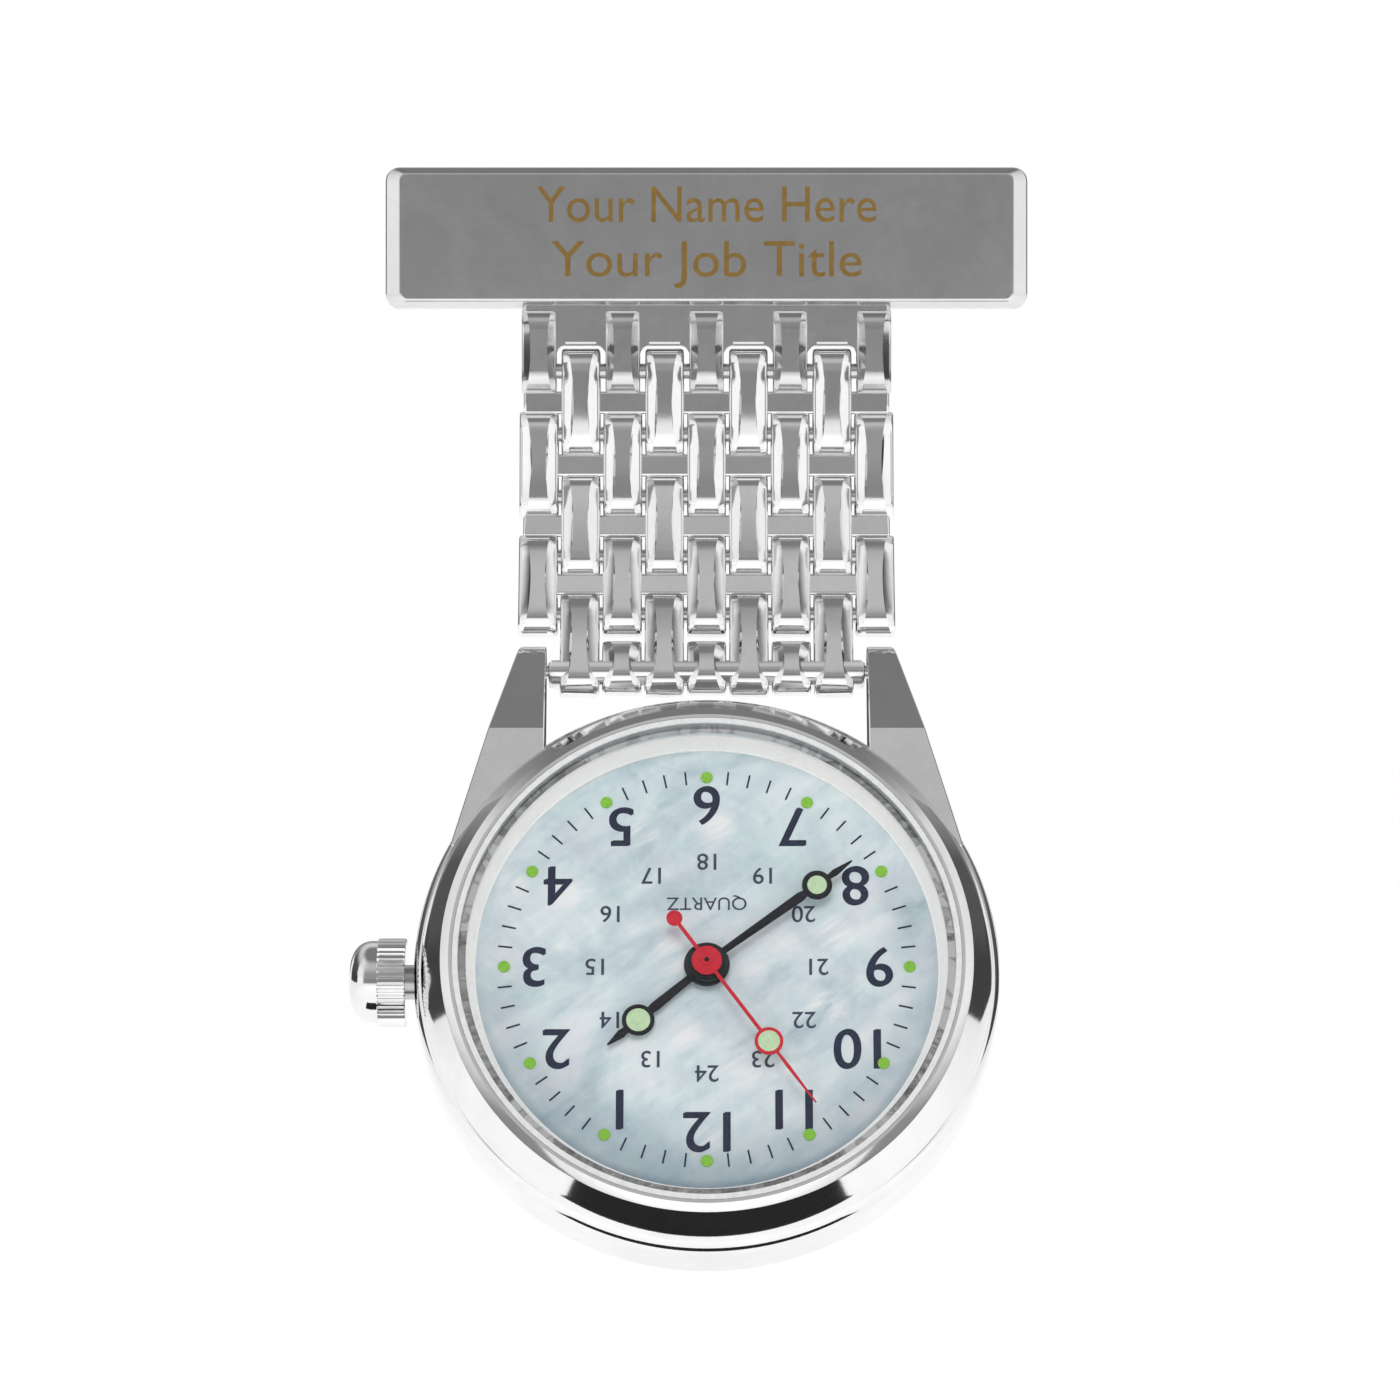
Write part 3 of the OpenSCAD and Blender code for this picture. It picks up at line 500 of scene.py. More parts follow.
@dataclass(frozen=True)
class Glass(Finish):
    """Clear glass: nearly all light passes, and faint smears hold a little of it."""

    name: str
    tint: Colour = (0.10, 0.12, 0.14)
    smeared: Colour = (0.3, 0.33, 0.35)
    body: float = 0.015
    edge: float = 0.5

    def mix_up(self) -> bpy.types.Material:
        """Glass that shows most where it is seen edge-on.

        Returns:
            The material.
        """
        shop = PaintShop(self.name)
        smear = shop.noise(6.0, 4, 0.6, 1.0)
        facing = shop.node("ShaderNodeLayerWeight", {}, {"Blend": 0.12}).outputs["Fresnel"]
        clear = self.body + 0.015 * smear + self.edge * Signal(shop, facing)
        return shop.coat(
            Base_Color=shop.mix(smear, self.tint, self.smeared),
            Roughness=(0.02 + 0.04 * smear).held(),
            Alpha=clear.held(),
        )


@dataclass(frozen=True)
class Windings(Finish):
    """Enamelled wire wound round a core that lies along X."""

    name: str
    wire: Colour
    pitch: float = 0.09

    def mix_up(self) -> bpy.types.Material:
        """Bands across the core, one for each turn.

        Returns:
            The material.
        """
        shop = PaintShop(self.name)
        sockets = {"Vector": shop.place, "Scale": 0.31 / self.pitch, "Distortion": 0.4}
        wave = shop.node("ShaderNodeTexWave", {"bands_direction": "X"}, sockets)
        turn = Signal(shop, wave.outputs["Fac"])
        dark = tuple(0.35 * c for c in self.wire)
        return shop.coat(
            Base_Color=shop.mix(turn, dark, self.wire),
            Metallic=(0.5 + 0.4 * turn).held(),
            Roughness=(0.42 - 0.15 * turn).held(),
            Normal=shop.bump(turn, 0.03),
        )


class Blank:
    """One piece while it is shaped with bmesh operators, in millimetres."""

    def __init__(self) -> None:
        """Starts with nothing."""
        self.mesh = bmesh.new()

    def grow(self, face: bmesh.types.BMFace, step: Sequence[float]) -> bmesh.types.BMFace:
        """Extrudes a face.

        Args:
            face: The face.
            step: How far its copy moves.

        Returns:
            The face at the far end.
        """
        grown = bmesh.ops.extrude_face_region(self.mesh, geom=[face])["geom"]
        cap = next(g for g in grown if isinstance(g, bmesh.types.BMFace))
        bmesh.ops.translate(self.mesh, vec=Vector(step), verts=list(cap.verts))
        return cap

    def prism(self, points: Iterable[Point], low: float, high: float) -> bmesh.types.BMFace:
        """Raises a flat outline along Z.

        Args:
            points: The outline's corners.
            low: Height of its underside.
            high: Height of its top.

        Returns:
            The top face.
        """
        corners = [self.mesh.verts.new((x, y, low)) for x, y in points]
        return self.grow(self.mesh.faces.new(corners), (0, 0, high - low))

    def disc(
        self, centre: Point, radius: float, low: float, high: float, steps: int = 48
    ) -> bmesh.types.BMFace:
        """Raises a round disc along Z.

        Args:
            centre: Its middle.
            radius: Its radius.
            low: Height of its underside.
            high: Height of its top.
            steps: Number of its sides.

        Returns:
            The top face.
        """
        made = bmesh.ops.create_circle(
            self.mesh,
            cap_ends=True,
            segments=steps,
            radius=radius,
            matrix=Matrix.Translation((*centre, low)),
        )
        return self.grow(made["verts"][0].link_faces[0], (0, 0, high - low))

    def block(
        self, centre: Sequence[float], size: Sequence[float], rounding: float = 0.0
    ) -> list[bmesh.types.BMVert]:
        """A box with softly rounded edges.

        Args:
            centre: Its middle.
            size: Its three sides.
            rounding: Width of the rounding.

        Returns:
            Its corners before the rounding.
        """
        place = Matrix.Translation(centre) @ Matrix.Diagonal((*size, 1.0))
        verts = bmesh.ops.create_cube(self.mesh, size=1.0, matrix=place)["verts"]
        if rounding:
            self.bevel({e for v in verts for e in v.link_edges}, rounding, 3)
        return verts

    def turned(
        self, profile: Iterable[Point], steps: int = 180, closed: bool = True
    ) -> None:
        """Spins a profile about Z.

        Args:
            profile: Radius and height of each corner.
            steps: Number of steps in the full turn.
            closed: Whether the last corner joins the first.
        """
        verts = [self.mesh.verts.new((r, 0, z)) for r, z in profile]
        pairs = list(zip(verts, verts[1:]))
        if closed:
            pairs.append((verts[-1], verts[0]))
        edges = [self.mesh.edges.new(pair) for pair in pairs]
        bmesh.ops.spin(
            self.mesh,
            geom=verts + edges,
            cent=(0, 0, 0),
            axis=(0, 0, 1),
            dvec=(0, 0, 0),
            angle=2 * math.pi,
            steps=steps,
            use_merge=True,
            use_duplicate=False,
        )
        poles = [v for v in self.mesh.verts if v.co.xy.length < 1e-6]
        bmesh.ops.remove_doubles(self.mesh, verts=poles, dist=1e-5)

    def bevel(
        self, edges: Iterable[bmesh.types.BMEdge], width: float, segments: int = 2
    ) -> None:
        """Rounds edges.

        Args:
            edges: The edges.
            width: Width of the rounding.
            segments: Number of its steps.
        """
        bmesh.ops.bevel(
            self.mesh,
            geom=list(edges),
            offset=width,
            offset_type="OFFSET",
            segments=segments,
            profile=0.5,
            affect="EDGES",
            clamp_overlap=True,
            material=-1,
        )

    def soften(
        self,
        width: float,
        segments: int = 2,
        angle: float = 28.0,
        where: Callable[[Vector], bool] | None = None,
    ) -> None:
        """Rounds the sharp edges.

        Args:
            width: Width of the rounding.
            segments: Number of its steps.
            angle: Edges that bend by more than this many degrees are sharp.
            where: Picks edges by their middle, if not all.
        """
        limit = math.radians(angle)
        sharp = [
            e
            for e in self.mesh.edges
            if len(e.link_faces) == 2
            and e.calc_face_angle(0.0) > limit
            and (where is None or where((e.verts[0].co + e.verts[1].co) / 2))
        ]
        self.bevel(sharp, width, segments)

    def cut(self, point: Sequence[float], normal: Sequence[float]) -> None:
        """Takes away what lies beyond a plane and closes the cut.

        Args:
            point: A point on the plane.
            normal: The side that goes.
        """
        made = bmesh.ops.bisect_plane(
            self.mesh,
            geom=[*self.mesh.verts, *self.mesh.edges, *self.mesh.faces],
            plane_co=Vector(point),
            plane_no=Vector(normal),
            clear_outer=True,
        )
        rim = [g for g in made["geom_cut"] if isinstance(g, bmesh.types.BMEdge)]
        bmesh.ops.contextual_create(self.mesh, geom=rim)

    def put(self, place: Matrix, verts: Iterable[bmesh.types.BMVert] | None = None) -> None:
        """Moves all or some of the piece."""
        bmesh.ops.transform(self.mesh, matrix=place, verts=list(verts or self.mesh.verts))

    def join(self, other: "Blank") -> None:
        """Takes in another blank.

        Args:
            other: The other blank, which is then spent.
        """
        data = bpy.data.meshes.new("spare")
        other.mesh.to_mesh(data)
        other.mesh.free()
        self.mesh.from_mesh(data)
        bpy.data.meshes.remove(data)

    def piece(
        self,
        name: str,
        body: str,
        finish: Finish,
        place: Matrix,
        stands_for: Sequence[str] = (),
        slot: str | None = None,
        crease: float = 32.0,
        flat_from: float = 6.0,
    ) -> bpy.types.Object:
        """Sets the piece in its place and finishes it.

        Args:
            name: The piece's name.
            body: The body that it rides on.
            finish: What it is finished in.
            place: Where its frame lies, in metres for a shape in millimetres.
            stands_for: CAD nodes that it replaces.
            slot: The record's material slot; not used.
            crease: Edges that bend by more than this many degrees stay crisp.
            flat_from: Faces of at least this area, in square millimetres, are shaded flat.

        Returns:
            The finished object.
        """
        for face in self.mesh.faces:
            face.smooth = face.calc_area() < flat_from
        self.put(place)
        bmesh.ops.recalc_face_normals(self.mesh, faces=self.mesh.faces)
        limit = math.radians(crease)
        for edge in self.mesh.edges:
            edge.smooth = len(edge.link_faces) == 2 and edge.calc_face_angle(0.0) < limit
        data = bpy.data.meshes.new(name)
        self.mesh.to_mesh(data)
        self.mesh.free()
        data.materials.append(finish.material())
        made = bpy.data.objects.new(name, data)
        bpy.context.scene.collection.objects.link(made)
        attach(made, body)
        if stands_for:
            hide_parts(*stands_for)
        LOG.info("%s rides on %s: %d faces", name, body, len(data.polygons))
        return made


@dataclass
class Lettering:
    """Flat printed or engraved characters, as thin solids."""

    thickness: float
    capital: float = 0.682

    def shape(self, words: str, height: float, width: float | None = None) -> Blank:
        """Makes characters centred on the origin, reading along X.

        Args:
            words: The characters.
            height: Height of a capital letter.
            width: Width of the line, if it isn't the natural one.

        Returns:
            The characters.
        """
        curve = bpy.data.curves.new("words", "FONT")
        curve.body = words
        curve.resolution_u = 6
        shown = bpy.data.objects.new("words", curve)
        bpy.context.scene.collection.objects.link(shown)
        view = bpy.context.evaluated_depsgraph_get()
        flat = bpy.data.meshes.new_from_object(shown.evaluated_get(view))
        blank = Blank()
        blank.mesh.from_mesh(flat)
        bpy.data.objects.remove(shown)
        bpy.data.curves.remove(curve)
        bpy.data.meshes.remove(flat)
        bmesh.ops.remove_doubles(blank.mesh, verts=blank.mesh.verts, dist=1e-5)
        left = min(v.co.x for v in blank.mesh.verts)
        right = max(v.co.x for v in blank.mesh.verts)
        tall = height / self.capital
        wide = width / (right - left) if width else tall
        middle = Matrix.Translation((-(left + right) / 2, -self.capital / 2, 0))
        blank.put(Matrix.Diagonal((wide, tall, 1, 1)) @ middle)
        grown = bmesh.ops.extrude_face_region(blank.mesh, geom=blank.mesh.faces[:])["geom"]
        tops = [g for g in grown if isinstance(g, bmesh.types.BMVert)]
        bmesh.ops.translate(blank.mesh, vec=(0, 0, self.thickness), verts=tops)
        return blank


JOINTS = {joint["name"]: joint for joint in frame["joints"]}
TO_METRES = Matrix.Diagonal((MM, MM, MM, 1.0))
HINGES = (
    "row_1_hinge",
    "row_2_hinge",
    "row_3_hinge",
    "row_4_hinge",
    "end_link_hinge",
    "head_hinge",
)
TURN_OVER = Matrix(((0, 0, 1, 0), (1, 0, 0, 0), (0, 1, 0, 0), (0, 0, 0, 1)))
STAND_UP = Matrix.Rotation(math.pi / 2, 4, "X")
STEM_HEIGHT = 2.9
SPRING_BAR = (18.6, 2.4)
HEAD_CENTRE = tuple(v / MM for v in JOINTS["second_hand_turn"]["pos_m"])
HEAD_AXIS = tuple(JOINTS["second_hand_turn"]["axis"])


def row_seat(number: int) -> Matrix:
    """Frame of a bracelet row, which hangs down -Z from its upper pin and leans.

    Args:
        number: 0 for the first row, 4 for the end link.

    Returns:
        The frame, for shapes in millimetres.
    """
    top, foot = (Vector(JOINTS[name]["pos_m"]) for name in HINGES[number : number + 2])
    run = foot - top
    lean = math.atan2(-run.y, -run.z)
    return Matrix.Translation(top) @ Matrix.Rotation(-lean, 4, "X") @ TO_METRES


def head_seat() -> Matrix:
    """Frame of the watch head.

    Returns:
        The frame, for shapes in millimetres on the bench.
    """
    joint = JOINTS["second_hand_turn"]
    out = -Vector(joint["axis"])
    across = Vector((1, 0, 0))
    turn = Matrix((across, out.cross(across), out)).transposed().to_4x4()
    lowered = Matrix.Translation((0, 0, -STEM_HEIGHT))
    return Matrix.Translation(joint["pos_m"]) @ turn @ TO_METRES @ lowered


BRACELET_STEEL = Metal("bracelet_steel", (0.86, 0.86, 0.865), 0.06, smudge=0.05)
BAR_STEEL = Metal("bar_steel", (0.72, 0.72, 0.725), 0.13, smudge=0.05, relief=0.003, specks=0.8)
CASE_STEEL = Metal("case_steel", (0.83, 0.83, 0.835), 0.045, smudge=0.04, relief=0.001)
BACK_STEEL = Metal(
    "back_steel",
    (0.62, 0.62, 0.62),
    0.28,
    Grain.CIRCULAR,
    relief=0.01,
    centre=HEAD_CENTRE,
    axis=HEAD_AXIS,
)
PIN_STEEL = Metal("pin_steel", (0.66, 0.66, 0.67), 0.2, Grain.SATIN, relief=0.004)
MOVEMENT_STEEL = Metal("movement_steel", (0.56, 0.57, 0.58), 0.25, Grain.SATIN, relief=0.004)
TRAIN_BRASS = Metal("train_brass", (0.78, 0.6, 0.29), 0.24, Grain.SATIN, relief=0.004)
COIL_COPPER = Windings("coil_copper", (0.72, 0.31, 0.13))
CRYSTAL_GLASS = Glass("crystal_glass")
PEARL_DIAL = Pearl("pearl_dial", centre=HEAD_CENTRE, axis=HEAD_AXIS)
# The white ring's glow is painted light that brightens it where the bezel shades it.
REHAUT_WHITE = Coating(
    "rehaut_white", (0.93, 0.92, 0.9), 0.28, 0.04, 3.0, clear_coat=0.3, glow=0.18
)
LUME_GREEN = Coating("lume_green", (0.26, 0.60, 0.05), 0.6, 0.15, 0.15)
LUME_PALE = Coating("lume_pale", (0.60, 0.80, 0.50), 0.6, 0.1, 0.3)
HAND_BLACK = Coating("hand_black", (0.004, 0.004, 0.007), 0.22, 0.3, 0.5, relief=0.002)
HAND_RED = Coating("hand_red", (0.66, 0.01, 0.03), 0.3, 0.12, 0.4, relief=0.002)
NAVY_PRINT = Coating("navy_print", (0.012, 0.018, 0.05), 0.45, 0.25, 0.3, relief=0.003)
GREY_PRINT = Coating("grey_print", (0.045, 0.06, 0.10), 0.5, 0.25, 0.3, relief=0.003)
BRONZE_PRINT = Coating("bronze_print", (0.21, 0.125, 0.025), 0.8, 0.15, 0.4, relief=0.004)
GASKET_RUBBER = Coating("gasket_rubber", (0.03, 0.03, 0.032), 0.62, 0.25, 0.3, relief=0.01)
GASKET_CLEAR = Coating("gasket_clear", (0.78, 0.79, 0.79), 0.3, 0.08, 0.4)
HOLDER_PLASTIC = Coating("holder_plastic", (0.78, 0.78, 0.76), 0.42, 0.06, 1.2, relief=0.008)
BOARD_GREEN = Coating("board_green", (0.03, 0.2, 0.07), 0.35, 0.25, 0.8, clear_coat=0.4)

SLOT_FINISH: dict[str, Finish] = {
    finish.name: finish
    for finish in (
        BRACELET_STEEL,
        BAR_STEEL,
        CASE_STEEL,
        BACK_STEEL,
        PIN_STEEL,
        MOVEMENT_STEEL,
        TRAIN_BRASS,
        COIL_COPPER,
        CRYSTAL_GLASS,
        PEARL_DIAL,
        REHAUT_WHITE,
        LUME_GREEN,
        LUME_PALE,
        HAND_BLACK,
        HAND_RED,
        GASKET_RUBBER,
        GASKET_CLEAR,
        HOLDER_PLASTIC,
        BOARD_GREEN,
    )
}


@dataclass
class Finger:
    """One finger of a comb link: a long rounded bar with an oval facet down each side."""

    width: float = 2.2
    half_thickness: float = 1.1
    half_length: float = 3.1
    facet: float = 0.7
    facet_drop: float = 0.46
    swell: float = 0.8
    arch: float = 0.16
    edge: float = 0.2
    ridge: float = 0.03
    sharp: float = 24.0
    steps: int = 36
    cuts: int = 9

    def at_side(self, spot: Vector) -> bool:
        """Whether a spot lies on one of the finger's two sides."""
        return abs(spot.z - self.width / 2) > self.width / 2.1

    def shape(self, x: float, middle: float, depth: float = 0.0) -> Blank:
        """Shapes a finger in a row's frame.

        Args:
            x: Its place across the bracelet.
            middle: Height of its middle.
            depth: How far its axis lies behind the pins.

        Returns:
            The finger.
        """
        blank = Blank()
        straight = self.half_length - self.half_thickness
        ring = bmesh.ops.create_circle(
            blank.mesh,
            cap_ends=False,
            segments=self.steps,
            radius=self.half_thickness,
            matrix=Matrix.Rotation(math.pi / self.steps, 4, "Z"),
        )["verts"]
        for vert in ring:
            vert.co.y += math.copysign(straight, vert.co.y)
        long = [e for e in blank.mesh.edges if e.calc_length() > straight]
        bmesh.ops.subdivide_edges(blank.mesh, edges=long, cuts=self.cuts)
        cap = bmesh.ops.contextual_create(blank.mesh, geom=blank.mesh.edges[:])["faces"][0]
        rings = [list(cap.verts)]
        for step in (self.facet, self.width - 2 * self.facet, self.facet):
            cap = blank.grow(cap, (0, 0, step))
            rings.append(list(cap.verts))
        for number, verts in enumerate(rings):
            for vert in verts:
                self.carve(vert, number)
        blank.soften(self.edge, 4, self.sharp, self.at_side)
        blank.soften(self.ridge, 2, self.sharp)
        blank.put(Matrix.Translation((x - self.width / 2, depth, middle)) @ TURN_OVER)
        return blank

    def carve(self, vert: bmesh.types.BMVert, number: int) -> None:
        """Moves one corner to cut the oval facets and the arched face.

        Args:
            vert: The corner; x runs to the back and y along the finger.
            number: Which of the four outlines across the width it is on.
        """
        along = min(1.0, abs(vert.co.y) / self.half_length)
        swell = math.sqrt(1.0 - along * along)
        front = max(0.0, -vert.co.x / self.half_thickness)
        if number in (1, 2):
            inset = self.facet * (1 - self.swell + self.swell * swell)
            vert.co.z = inset if number == 1 else self.width - inset
        else:
            vert.co.x += self.facet_drop * swell * front
        vert.co.x += self.arch * along * along * front


@dataclass
class NameBar:
    """The name bar with the fixed comb under it."""

    half_length: float = 18.25
    top: float = 3.0
    bottom: float = -5.0
    front: float = -4.0
    back: float = -2.4
    corner: float = 0.8
    end_band: float = 0.85
    side_band: float = 0.38
    band_drop: float = 0.5
    edge: float = 0.1
    comb_half: float = 10.395
    comb_top: float = -4.7
    comb_foot: float = -7.15
    comb_edge: float = 0.2
    comb_front: float = -3.7
    comb_back: float = -2.7
    prong_pitch: float = 4.76
    pin_depth: float = -3.2
    prong_middle: float = -7.45
    hollow: float = 0.55
    overlap: float = 0.2
    print_thickness: float = 0.03
    wording: tuple[tuple[str, float, float, float], ...] = (
        ("Your Name Here", 19.3, 2.0, 0.85),
        ("Your Job Title", 17.6, 2.0, -2.25),
    )
    prong: Finger = field(
        default_factory=lambda: Finger(
            width=1.95, half_length=2.45, facet=0.5, facet_drop=0.5, arch=0.0
        )
    )

    def plate(self) -> Blank:
        """The plate with its raised face and bright bevelled border.

        Returns:
            The plate.
        """
        blank = Blank()
        ledge = self.front + self.band_drop
        middle = (0, (ledge + self.back) / 2, (self.top + self.bottom) / 2)
        blank.block(middle, (2 * self.half_length, self.back - ledge, self.top - self.bottom))
        upright = [
            e for e in blank.mesh.edges if abs(e.verts[0].co.y - e.verts[1].co.y) > 0.5
        ]
        blank.bevel(upright, self.corner, 6)
        blank.mesh.normal_update()
        face = min(blank.mesh.faces, key=lambda f: f.calc_center_median().y)
        bmesh.ops.inset_region(
            blank.mesh, faces=[face], thickness=self.side_band, use_even_offset=True
        )
        squeeze = (self.half_length - self.end_band) / (self.half_length - self.side_band)
        bmesh.ops.scale(blank.mesh, vec=(squeeze, 1, 1), verts=list(face.verts))
        bmesh.ops.translate(blank.mesh, vec=(0, -self.band_drop, 0), verts=list(face.verts))
        blank.soften(self.edge, 3, 20.0)
        return blank

    def web_corner(self, x: float, side: int) -> Blank:
        """The hollow corner between the comb's band and one flank of a prong.

        Args:
            x: The prong's flank.
            side: 1 if the flank faces right, -1 if it faces left.

        Returns:
            The corner.
        """
        reach = self.hollow
        centre = (x + side * reach, self.comb_foot - reach)
        hollow = [
            (
                centre[0] - side * reach * math.cos(math.radians(15 * i)),
                centre[1] + reach * math.sin(math.radians(15 * i)),
            )
            for i in range(7)
        ]
        inside, above = x - side * self.overlap, self.comb_foot + self.overlap
        blank = Blank()
        outline = [*hollow, (centre[0], above), (inside, above), (inside, centre[1])]
        blank.prism(outline, -self.comb_back - self.overlap / 2, -self.comb_front)
        blank.put(STAND_UP)
        return blank

    def build(self) -> None:
        """Builds the bar, its comb and its wording."""
        blank = self.plate()
        tall = self.comb_top - self.comb_foot
        deep = self.comb_back - self.comb_front
        middle = (0, (self.comb_front + self.comb_back) / 2, self.comb_foot + tall / 2)
        blank.block(middle, (2 * self.comb_half, deep, tall), self.comb_edge)
        for column in range(-2, 3):
            x = column * self.prong_pitch
            blank.join(self.prong.shape(x, self.prong_middle, self.pin_depth))
            for side in (-1, 1):
                if abs(x + side) < self.comb_half - 0.5:
                    blank.join(self.web_corner(x + side * (self.prong.width / 2 - 0.02), side))
        blank.piece("name_bar", "brooch", BAR_STEEL, TO_METRES, ["brooch_plate"], "bar_steel")
        words = Blank()
        for text, width, height, level in self.wording:
            line = Lettering(self.print_thickness).shape(text, height, width)
            line.put(Matrix.Translation((0, self.front + 0.005, level)) @ STAND_UP)
            words.join(line)
        words.piece("bar_wording", "brooch", BRONZE_PRINT, TO_METRES, crease=20)


@dataclass
class Bracelet:
    """Four comb rows and the end link that holds the watch head."""

    pitch: float = 3.6
    even_columns: tuple[float, ...] = (-7.14, -2.38, 2.38, 7.14)
    odd_columns: tuple[float, ...] = (-9.52, -4.76, 0.0, 4.76, 9.52)
    web_half: float = 10.395
    web_height: float = 1.3
    web_depth: float = 0.7
    web_edge: float = 0.15
    end_half: float = 8.85
    end_radius: float = 1.0
    end_edge: float = 0.2
    end_top: float = 0.15
    low_drop: float = 0.1
    stub_rise: float = 0.22
    finger: Finger = field(default_factory=Finger)
    low_finger: Finger = field(default_factory=lambda: Finger(half_length=3.2))
    stub: Finger = field(default_factory=lambda: Finger(half_length=1.62, cuts=3))

    def row(self, number: int) -> None:
        """Builds one comb row.

        Args:
            number: 0 for the first row, 3 for the last.
        """
        columns = self.odd_columns if number % 2 else self.even_columns
        blank = Blank()
        middle = -self.pitch / 2
        size = (2 * self.web_half, self.web_depth, self.web_height)
        blank.block((0, 0, middle), size, self.web_edge)
        for x in columns:
            blank.join(self.finger.shape(x, middle))
        blank.piece(
            f"comb_row_{number + 1}",
            f"row_{number + 1}",
            BRACELET_STEEL,
            row_seat(number),
            [f"link_row_{number + 1}"],
            "bracelet_steel",
        )

    def end_link(self) -> None:
        """Builds the end link: full fingers with short ones between them at the foot."""
        blank = Blank()
        for x in self.even_columns:
            blank.join(self.low_finger.shape(x, -self.pitch / 2 - self.low_drop))
        for x in self.odd_columns[1:-1]:
            blank.join(self.stub.shape(x, -self.pitch + self.stub_rise))
        foot = Blank()
        foot.disc((0, 0), self.end_radius, -self.end_half, self.end_half, 40)
        foot.soften(self.end_edge, 2, 50)
        foot.put(Matrix.Translation((0, 0, -self.pitch)) @ Matrix.Rotation(math.pi / 2, 4, "Y"))
        foot.cut((0, 0, -self.pitch + self.end_top), (0, 0, 1))
        blank.join(foot)
        blank.piece(
            "comb_end", "end_link", BRACELET_STEEL, row_seat(4), ["end_link"], "bracelet_steel"
        )

    def build(self) -> None:
        """Builds every row and the end link."""
        for number in range(4):
            self.row(number)
        self.end_link()


